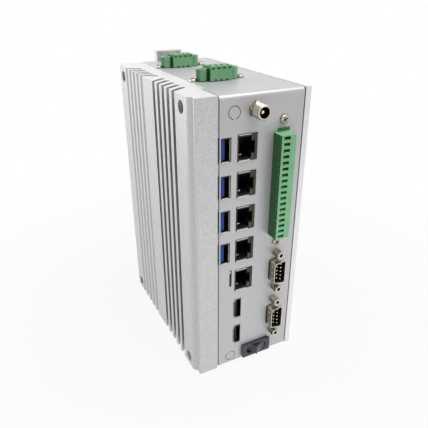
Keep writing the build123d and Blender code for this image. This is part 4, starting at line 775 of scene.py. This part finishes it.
class RAIL_OT_data_port_parts(bpy.types.Operator):
    """Adds contact strips, spring leaves and pale strips to the data ports: painted highlights on
    the shells' lower lips and right walls
    """

    bl_idname = "rail.data_port_parts"
    bl_label = "Data Port Contacts"

    def execute(self, context):
        sizes = context.scene.rail_ports
        strips, leaves, highlight_strips = bmesh.new(), bmesh.new(), bmesh.new()
        shell, gap, tongue = 0.35 * MM, 0.35 * MM, 1.7 * MM
        strip_pitch, leaf_spread = 2.5 * MM, 3.1 * MM
        leaf_lean = Matrix.Rotation(math.radians(3.5), 4, "Z")
        for name in DATA_PORTS:
            low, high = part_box(name)
            middle = (low[2] + high[2]) / 2
            face = low[0] + shell + gap + tongue
            for k in range(4):
                add_block(
                    strips,
                    (face + 0.05 * MM, low[1] + 5.2 * MM, middle + (k - 1.5) * strip_pitch),
                    (0.12 * MM, 7.0 * MM, sizes.strip_width),
                    0.03 * MM,
                )
            wall = high[0] - shell
            # the shell's lower lip is bent out a little, and is drawn pale, a painted highlight
            # along the shell's lower edge
            add_block(
                highlight_strips,
                (low[0] + 2.1 * MM, low[1] - 0.15 * MM, low[2] + 0.3 * MM),
                (3.9 * MM, 0.6 * MM, 0.6 * MM),
                SOFT_EDGE,
            )
            # a pale strip just inside the shell's right wall, a painted highlight on the wall's
            # inner face
            add_block(
                highlight_strips,
                (high[0] - 0.75 * MM, low[1] + 0.4 * MM, middle),
                (0.22 * MM, 0.5 * MM, high[2] - low[2] - 1.2 * MM),
            )
            for side in (-1, 1):
                add_block(
                    leaves,
                    (wall - 0.35 * MM, low[1] + 5.4 * MM, middle + side * leaf_spread),
                    (0.2 * MM, 7.4 * MM, sizes.leaf_width),
                    0.05 * MM,
                    leaf_lean,
                )
        make_piece(strips, "data_contact_strips", "contact_brass")
        make_piece(leaves, "data_spring_leaves", "spring_steel")
        make_piece(highlight_strips, "data_shell_lips", "tinned_shell")
        return {"FINISHED"}


class RAIL_OT_jack_springs(bpy.types.Operator):
    """Adds the bright shield springs and the folded shell edges of the network jacks"""

    bl_idname = "rail.jack_springs"
    bl_label = "Network Jack Springs"

    def execute(self, context):
        bm, bands = bmesh.new(), bmesh.new()
        finger_lean = Matrix.Rotation(math.radians(20), 4, "X")
        for name in NETWORK_JACKS:
            low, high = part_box(name)
            left, front = low[0], low[1]
            # the shell is folded over the light guides at the right
            add_block(
                bands,
                (high[0] - 0.95 * MM, front + 0.1 * MM, (low[2] + high[2]) / 2),
                (1.4 * MM, 0.3 * MM, high[2] - low[2] - 0.5 * MM),
                0.06 * MM,
            )
            # the springs over and under the opening
            add_block(
                bm,
                (left + 4.2 * MM, front - 0.1 * MM, high[2] - 0.2 * MM),
                (7.6 * MM, 0.5 * MM, 0.4 * MM),
                0.08 * MM,
            )
            add_block(
                bm,
                (left + 3.9 * MM, front - 0.15 * MM, low[2] + 0.5 * MM),
                (7.2 * MM, 0.6 * MM, 0.8 * MM),
                0.12 * MM,
            )
            # the shield's inner finger catches the light low in the plug bay
            add_block(
                bm,
                (left + 2.2 * MM, front + 2.4 * MM, low[2] + 3.1 * MM),
                (2.3 * MM, 0.25 * MM, 1.0 * MM),
                SOFT_EDGE,
                finger_lean,
            )
        make_piece(bm, "jack_shield_springs", "tinned_shell")
        folds = make_piece(bands, "jack_shell_folds", "tinned_shell")
        # painted shade: the folds take the nickel painted dark
        folds.data.materials[0] = dull_nickel()
        return {"FINISHED"}


class RAIL_OT_video_parts(bpy.types.Operator):
    """Adds the contact strips on the video ports' tongues"""

    bl_idname = "rail.video_parts"
    bl_label = "Video Port Contacts"

    def execute(self, context):
        bm = bmesh.new()
        count, pitch = 10, 1.0 * MM
        for middle in VIDEO_HEIGHTS:
            for k in range(count):
                z = middle + (k - (count - 1) / 2) * pitch
                add_block(
                    bm,
                    (VIDEO_X - 1.18 * MM, FACE_Y + 4.2 * MM, z),
                    (0.08 * MM, 5.8 * MM, 0.45 * MM),
                )
        make_piece(bm, "video_contact_strips", "contact_brass")
        return {"FINISHED"}


class RAIL_OT_card_slot_parts(bpy.types.Operator):
    """Adds a near-black block that fills the card slot, painted shade, and the brass contact in
    the slot
    """

    bl_idname = "rail.card_slot_parts"
    bl_label = "Card Slot Parts"

    def execute(self, context):
        slot_shade_block, contact = bmesh.new(), bmesh.new()
        # painted shade: a near-black block fills the slot's opening
        add_block(
            slot_shade_block,
            (CARD_X, FACE_Y + 4.9 * MM, CARD_Z),
            (1.56 * MM, 9.3 * MM, 11.76 * MM),
            SOFT_EDGE,
        )
        add_block(
            contact,
            (CARD_X - 0.1 * MM, FACE_Y + 0.35 * MM, CARD_Z + 4.4 * MM),
            (0.9 * MM, 0.4 * MM, 1.5 * MM),
            0.12 * MM,
        )
        make_piece(slot_shade_block, "card_carrier", "black_plastic")
        make_piece(contact, "card_contact", "contact_brass")
        return {"FINISHED"}


class RAIL_OT_serial_shade_sheets(bpy.types.Operator):
    """Adds a thin near-black sheet inside each serial connector's shell, painted shade on its
    walls
    """

    bl_idname = "rail.serial_liners"
    bl_label = "Serial Liners"

    def execute(self, context):
        bm = bmesh.new()
        half, wide, narrow, rounding = 3.66 * MM, 7.9 * MM, 6.42 * MM, 1.2 * MM
        start, depth, wall = FACE_Y + 0.3 * MM, 5.9 * MM, 0.05 * MM
        for z in SERIAL_HEIGHTS:
            outline = ((half, wide), (half, -wide), (-half, -narrow), (-half, narrow))
            corners = [(SERIAL_X + u, start, z + v) for u, v in outline]
            loop = add_rounded_loop(bm, corners, rounding)
            walls = bmesh.ops.extrude_edge_only(bm, edges=loop)["geom"]
            tops = [item for item in walls if isinstance(item, bmesh.types.BMVert)]
            bmesh.ops.translate(bm, verts=tops, vec=(0, -depth, 0))
        bmesh.ops.recalc_face_normals(bm, faces=bm.faces)
        bmesh.ops.solidify(bm, geom=bm.faces[:], thickness=wall)
        # painted shade: near-black sheets over the shells' inner walls
        make_piece(bm, "serial_liners", "black_plastic")
        return {"FINISHED"}


class RAIL_OT_panel_marks(bpy.types.Operator):
    """Adds near-black rings in the knock-outs' grooves, painted shade, and what shows in the
    panel's two seams
    """

    bl_idname = "rail.panel_marks"
    bl_label = "Knock-outs and Seams"

    def execute(self, context):
        lines = bmesh.new()
        inner, outer, deep, shallow = 3.24 * MM, 3.56 * MM, -0.3 * MM, -0.06 * MM
        groove = [(inner, deep), (outer, deep), (outer, shallow), (inner, shallow)]
        # a bridge of sheet is left at the foot of the upper one
        for z, bridge in zip(KNOCKOUT_HEIGHTS, (math.radians(20), 0.0)):
            place = on_face(KNOCKOUT_X, z, -math.pi / 2 + bridge / 2)
            add_turned(lines, groove, place, steps=60, angle=math.tau - bridge)
        # painted shade: a near-black ring lies in each groove
        make_piece(lines, "knockout_cut_lines", "chip_plastic")
        ledge = bmesh.new()
        ports = [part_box(name) for name in DATA_PORTS]
        width, clear = SEAM_WIDTH - 0.1 * MM, 0.5 * MM
        spans = [(ports[0][1][2] + clear, TOP_Z - 1.2 * MM), (1.0 * MM, ports[3][0][2] - clear)]
        for above, below in zip(ports, ports[1:]):
            spans.append((below[1][2] + clear, above[0][2] - clear))
        for low, high in spans:
            add_block(
                ledge,
                (SEAM_X, FACE_Y + 1.1 * MM, (low + high) / 2),
                (width, 0.5 * MM, high - low),
                SOFT_EDGE,
            )
        # the seam runs on over the top
        add_block(
            ledge,
            (SEAM_X, FACE_Y + 10.7 * MM, TOP_Z - 0.6 * MM),
            (width, 18.6 * MM, 0.7 * MM),
            SOFT_EDGE,
        )
        make_piece(ledge, "seam_ledges", "painted_sheet")
        # painted shade: a near-black strip lies in the seam beside the side cover
        edge = bmesh.new()
        add_block(
            edge,
            (COVER_SEAM_X, FACE_Y + 0.85 * MM, TOP_Z / 2),
            (0.7 * MM, 0.5 * MM, TOP_Z - 3.0 * MM),
        )
        make_piece(edge, "cover_seam_edge", "chip_plastic")
        return {"FINISHED"}


class RAIL_OT_panel_screws(bpy.types.Operator):
    """Replaces the header screws with domed, cross-recessed ones"""

    bl_idname = "rail.panel_screws"
    bl_label = "Panel Screws"

    def execute(self, context):
        heads, cross_shade = bmesh.new(), bmesh.new()
        height = 1.8 * MM
        for x, z in IO_SCREWS:
            add_pan_screw(heads, cross_shade, on_face(x, z), 2.5 * MM, height)
        for name in TOP_PLUGS:
            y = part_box(name)[0][1] + TOP_SCREW_BACK
            for side in (-1, 1):
                lay = Matrix.Translation((TOP_PLUG_X + side * TOP_SCREW_REACH, y, TOP_Z))
                add_pan_screw(heads, cross_shade, lay, 2.1 * MM, height)
        screws = make_piece(heads, "panel_screw_heads", "zinc_screw", smooth=True)
        make_piece(cross_shade, "panel_screw_crosses", "chip_plastic")
        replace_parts(screws, "header_screws")
        return {"FINISHED"}


class RAIL_OT_clamp_cages(bpy.types.Operator):
    """Adds the wire clamps in the terminal plugs' windows, and near-black blocks on the top
    plugs, painted shade for their coding slots
    """

    bl_idname = "rail.clamp_cages"
    bl_label = "Wire Clamps and Coding Slots"

    def execute(self, context):
        wall = context.scene.rail_ports.cage_wall
        bm, slots = bmesh.new(), bmesh.new()
        # a clamp is a floor and two sides, set in from the plug's edge and down from its face
        inset, floor_down, sides_down = 3.5 * MM, 5.2 * MM, 3.9 * MM
        cage, half, band = 2.6 * MM, 1.3 * MM, 1.2 * MM
        low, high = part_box("io_plug")
        x, face, end_play = low[0] + inset, low[1], 0.15 * MM
        first = low[2] - end_play + POLE_PITCH / 2
        for k in range(round((high[2] - low[2] + 2 * end_play) / POLE_PITCH)):
            z = first + k * POLE_PITCH
            add_block(bm, (x, face + floor_down, z), (cage, wall, band))
            for side in (-1, 1):
                add_block(bm, (x + side * half, face + sides_down, z), (wall, cage, band))
        for name in TOP_PLUGS:
            low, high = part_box(name)
            middle, y, face = (low[0] + high[0]) / 2, low[1] + inset, high[2]
            for k in range(4):
                x = middle + (k - 1.5) * POLE_PITCH
                add_block(bm, (x, y, face - floor_down), (band, cage, wall))
                for side in (-1, 1):
                    add_block(bm, (x, y + side * half, face - sides_down), (band, wall, cage))
            # painted shade: near-black blocks where the coding slots open
            for k in (-1, 0, 1):
                add_block(
                    slots,
                    (middle + k * POLE_PITCH, low[1], TOP_Z + 0.8 * MM),
                    (1.3 * MM, 0.2 * MM, 0.8 * MM),
                )
        make_piece(bm, "wire_clamp_cages", "spring_steel")
        make_piece(slots, "plug_coding_slots", "chip_plastic")
        return {"FINISHED"}


class RAIL_OT_jack_thread(bpy.types.Operator):
    """Adds the thread around the power jack's barrel and replaces its nut with a turned one"""

    bl_idname = "rail.jack_thread"
    bl_label = "Power Jack Thread and Nut"

    def execute(self, context):
        pitch = context.scene.rail_ports.thread_pitch
        lay = on_face(JACK_X, JACK_Z)
        barrel, start, end = 3.9 * MM, 2.4 * MM, 7.2 * MM
        root, crest = barrel - 0.06 * MM, barrel + 0.15 * MM
        bm = bmesh.new()
        height = start
        while height < end:
            ridge = [(root, height), (crest, height + pitch / 2), (root, height + pitch)]
            add_turned(bm, ridge, lay, steps=40)
            height += pitch
        make_piece(bm, "power_jack_thread", "plated_zinc")
        # the nut is a turned and chamfered blank with six flats cut from it
        nut = bmesh.new()
        bore, corner, flat, thick = 3.96 * MM, 4.75 * MM, 4.2 * MM, 2.2 * MM
        blank = [
            (bore, 0.0),
            (corner, 0.0),
            (corner, thick - 0.35 * MM),
            (corner - 0.3 * MM, thick),
            (bore, thick),
        ]
        add_turned(nut, blank, Matrix.Identity(4), steps=72)
        for k in range(6):
            turn = math.radians(10 + 60 * k)
            out = Vector((math.cos(turn), math.sin(turn), 0.0))
            cut = bmesh.ops.bisect_plane(
                nut,
                geom=nut.verts[:] + nut.edges[:] + nut.faces[:],
                plane_co=out * flat,
                plane_no=out,
                clear_outer=True,
            )["geom_cut"]
            rim = [item for item in cut if isinstance(item, bmesh.types.BMEdge)]
            bmesh.ops.edgeloop_fill(nut, edges=rim)
        bmesh.ops.transform(nut, matrix=lay, verts=nut.verts)
        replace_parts(make_piece(nut, "power_jack_nut_turned", "plated_zinc"), "power_jack_nut")
        return {"FINISHED"}


class RAIL_OT_switch_parts(bpy.types.Operator):
    """Adds the rim around the rocker and replaces the rocker with a ridged, dished one"""

    bl_idname = "rail.switch_parts"
    bl_label = "Rocker and Rim"

    def execute(self, context):
        rim = bmesh.new()
        # a plate with an opening that is round at both ends, on the switch's bezel
        bezel = 1.45 * MM
        loops = add_rounded_ring(rim, 20.9 * MM, 10.1 * MM, 0.6 * MM)
        loops += add_rounded_ring(rim, 14.8 * MM, 6.1 * MM, 2.9 * MM)
        plate = bmesh.ops.bridge_loops(rim, edges=loops)["faces"]
        raise_faces(rim, plate, 1.0 * MM)
        lay = on_face(SWITCH_X, SWITCH_Z) @ Matrix.Translation((0, 0, bezel))
        bmesh.ops.transform(rim, matrix=lay, verts=rim.verts)
        make_piece(rim, "rocker_rim", "dark_switch_plastic")

        cap = bmesh.new()
        half, skirt, ridge, end = 7.1 * MM, 1.2 * MM, 5.6 * MM, 1.0 * MM
        blank, cuts, crease = 4.0 * MM, 14, 0.9
        outline = add_rounded_ring(cap, 2 * half, 5.7 * MM, 2.7 * MM)
        raise_faces(cap, bmesh.ops.edgeloop_fill(cap, edges=outline)["faces"], blank)
        for k in range(1 - cuts, cuts):
            bmesh.ops.bisect_plane(
                cap,
                geom=cap.verts[:] + cap.edges[:] + cap.faces[:],
                plane_co=(k * half / cuts, 0, 0),
                plane_no=(1, 0, 0),
            )
        # both halves are hollow, and meet in a ridge over the axle
        for vert in cap.verts:
            if vert.co.z > blank / 2:
                inwards = 1.0 - min(1.0, abs(vert.co.x) / half)
                vert.co.z = skirt + end + (ridge - end) * inwards**1.8
        sharp = [edge for edge in cap.edges if edge.calc_face_angle(0.0) > crease]
        bmesh.ops.bevel(
            cap,
            geom=sharp,
            offset=0.2 * MM,
            offset_type="OFFSET",
            affect="EDGES",
            segments=2,
            profile=0.5,
            material=-1,
            clamp_overlap=True,
        )
        lay = (
            Matrix.Translation((SWITCH_X, FACE_Y, SWITCH_Z))
            @ Matrix.Rotation(ROCKER_TILT, 4, "Z")
            @ Matrix.Rotation(math.pi / 2, 4, "X")
            @ Matrix.Translation((0, 0, -skirt))
        )
        bmesh.ops.transform(cap, matrix=lay, verts=cap.verts)
        rocker = make_piece(cap, "ridged_rocker", "dark_switch_plastic", body="rocker")
        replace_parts(rocker, "rocker")
        return {"FINISHED"}


class RAIL_OT_stage(bpy.types.Operator):
    """Adds the floor, the soft lights and the photograph's camera"""

    bl_idname = "rail.stage"
    bl_label = "Stage"

    def execute(self, context):
        settings = context.scene.rail_stage
        self.add_floor(settings)
        self.add_surroundings(context, settings)
        self.add_lights(context, settings)
        self.add_camera(context)
        context.scene.view_settings.view_transform = "Standard"
        return {"FINISHED"}

    def seen_directly(self, tree):
        """1 for rays from the camera, or by way of a mirror or glass, and 0 for soft light."""
        path = add_node(tree, "ShaderNodeLightPath")
        first = add_node(
            tree,
            "ShaderNodeMath",
            {0: path.outputs["Is Camera Ray"], 1: path.outputs["Is Glossy Ray"]},
            operation="MAXIMUM",
        )
        return add_node(
            tree,
            "ShaderNodeMath",
            {0: first.outputs[0], 1: path.outputs["Is Transmission Ray"]},
            operation="MAXIMUM",
        ).outputs[0]

    def add_floor(self, settings):
        bm = bmesh.new()
        bmesh.ops.create_grid(bm, x_segments=1, y_segments=1, size=12.0)
        mesh = bpy.data.meshes.new("floor")
        bm.to_mesh(mesh)
        bm.free()
        floor = bpy.data.objects.new("floor", mesh)
        bpy.context.scene.collection.objects.link(floor)
        material, tree, place = start_material("pale_paper")
        # the shadow shows near the object, and the paper runs out to plain white
        far = add_node(tree, "ShaderNodeVectorMath", {0: place}, operation="LENGTH")
        white = add_node(
            tree,
            "ShaderNodeMapRange",
            {"Value": far.outputs["Value"], "From Min": 0.1, "From Max": 0.35, "To Min": 0.92},
        )
        seen = self.seen_directly(tree)
        share = add_node(
            tree, "ShaderNodeMath", {0: seen, 1: white.outputs["Result"]}, operation="MULTIPLY"
        )
        paper = add_node(
            tree,
            "ShaderNodeBsdfDiffuse",
            {"Color": opaque(settings.floor_colour)},
        )
        glow = add_node(tree, "ShaderNodeEmission", {"Color": (1, 1, 1, 1), "Strength": 1.0})
        mixed = add_node(
            tree,
            "ShaderNodeMixShader",
            {0: share.outputs[0], 1: paper.outputs["BSDF"], 2: glow.outputs["Emission"]},
        )
        add_node(tree, "ShaderNodeOutputMaterial", {"Surface": mixed.outputs["Shader"]})
        mesh.materials.append(material)

    def add_surroundings(self, context, settings):
        world = bpy.data.worlds.new("pale_surroundings")
        world.use_nodes = True
        tree = world.node_tree
        tree.nodes.clear()
        seen = self.seen_directly(tree)
        strength = add_node(
            tree,
            "ShaderNodeMapRange",
            {"Value": seen, "To Min": settings.sky_light, "To Max": 1.0},
        )
        back = add_node(
            tree,
            "ShaderNodeBackground",
            {"Color": (1, 1, 1, 1), "Strength": strength.outputs["Result"]},
        )
        add_node(tree, "ShaderNodeOutputWorld", {"Surface": back.outputs["Background"]})
        context.scene.world = world

    def add_lights(self, context, settings):
        target = Vector((0.0, 0.0, 0.09))
        for name, place, size, power in (
            ("key", (0.5, -0.44, 2.0), (1.5, 1.5), settings.key_power),
            ("side", (-0.88, 0.66, 0.36), (0.7, 0.7), settings.side_power),
            ("low", (0.0, -0.26, 0.025), (0.4, 0.045), settings.low_power),
        ):
            data = bpy.data.lights.new(name, "AREA")
            data.shape = "RECTANGLE"
            data.size, data.size_y = size
            data.energy = power
            lamp = bpy.data.objects.new(name, data)
            lamp.location = place
            aim = Vector((0.0, 0.0, place[2])) if name == "low" else target
            lamp.rotation_euler = (aim - Vector(place)).to_track_quat("-Z", "Y").to_euler()
            lamp.visible_camera = False
            # the low light only lifts the shade, and makes no highlight of its own
            lamp.visible_glossy = name != "low"
            context.scene.collection.objects.link(lamp)

    def add_camera(self, context):
        data = bpy.data.cameras.new("photo_camera")
        data.lens = CAMERA_LENS
        data.sensor_width = SENSOR_WIDTH
        camera = bpy.data.objects.new("photo_camera", data)
        back = Vector(
            (
                math.sin(CAMERA_TURN) * math.cos(CAMERA_DROP),
                -math.cos(CAMERA_TURN) * math.cos(CAMERA_DROP),
                math.sin(CAMERA_DROP),
            )
        )
        right = Vector((math.cos(CAMERA_TURN), math.sin(CAMERA_TURN), 0.0))
        up = back.cross(right)
        turned_right = math.cos(CAMERA_ROLL) * right + math.sin(CAMERA_ROLL) * up
        turned_up = -math.sin(CAMERA_ROLL) * right + math.cos(CAMERA_ROLL) * up
        axes = Matrix((turned_right, turned_up, back)).transposed().to_4x4()
        camera.matrix_world = Matrix.Translation(CAMERA_PLACE) @ axes
        context.scene.collection.objects.link(camera)
        context.scene.camera = camera


class RAIL_PT_panel(bpy.types.Panel):
    """Lists the object's groups in the sidebar"""

    bl_idname = "RAIL_PT_panel"
    bl_label = "Rail Computer"
    bl_space_type = "VIEW_3D"
    bl_region_type = "UI"
    bl_category = "Rail Computer"

    def draw(self, context):
        for group in ("rail_finish", "rail_ports", "rail_stage"):
            box = self.layout.box()
            settings = getattr(context.scene, group)
            for field in settings.__annotations__:
                box.prop(settings, field)
        for operator in OPERATORS:
            self.layout.operator(operator.bl_idname)


SETTINGS = {
    "rail_finish": FinishSettings,
    "rail_ports": PortSettings,
    "rail_stage": StageSettings,
}
OPERATORS = (
    RAIL_OT_stage,
    RAIL_OT_housing,
    RAIL_OT_connectors,
    RAIL_OT_terminals,
    RAIL_OT_switch,
    RAIL_OT_clip,
    RAIL_OT_inside,
    RAIL_OT_data_port_parts,
    RAIL_OT_clamp_cages,
    RAIL_OT_jack_thread,
    RAIL_OT_jack_springs,
    RAIL_OT_video_parts,
    RAIL_OT_card_slot_parts,
    RAIL_OT_serial_shade_sheets,
    RAIL_OT_panel_marks,
    RAIL_OT_panel_screws,
    RAIL_OT_switch_parts,
)


def register():
    for kind in (*SETTINGS.values(), *OPERATORS, RAIL_PT_panel):
        bpy.utils.register_class(kind)
    for name, kind in SETTINGS.items():
        setattr(bpy.types.Scene, name, bpy.props.PointerProperty(type=kind))


def unregister():
    for name in SETTINGS:
        delattr(bpy.types.Scene, name)
    for kind in reversed((*SETTINGS.values(), *OPERATORS, RAIL_PT_panel)):
        bpy.utils.unregister_class(kind)


def main():
    register()
    bpy.ops.rail.stage()
    bpy.ops.rail.housing()
    bpy.ops.rail.connectors()
    bpy.ops.rail.terminals()
    bpy.ops.rail.switch()
    bpy.ops.rail.clip()
    bpy.ops.rail.inside()
    bpy.ops.rail.data_port_parts()
    bpy.ops.rail.clamp_cages()
    bpy.ops.rail.jack_thread()
    bpy.ops.rail.jack_springs()
    bpy.ops.rail.video_parts()
    bpy.ops.rail.card_slot_parts()
    bpy.ops.rail.serial_liners()
    bpy.ops.rail.panel_marks()
    bpy.ops.rail.panel_screws()
    bpy.ops.rail.switch_parts()


if __name__ == "__main__":
    main()
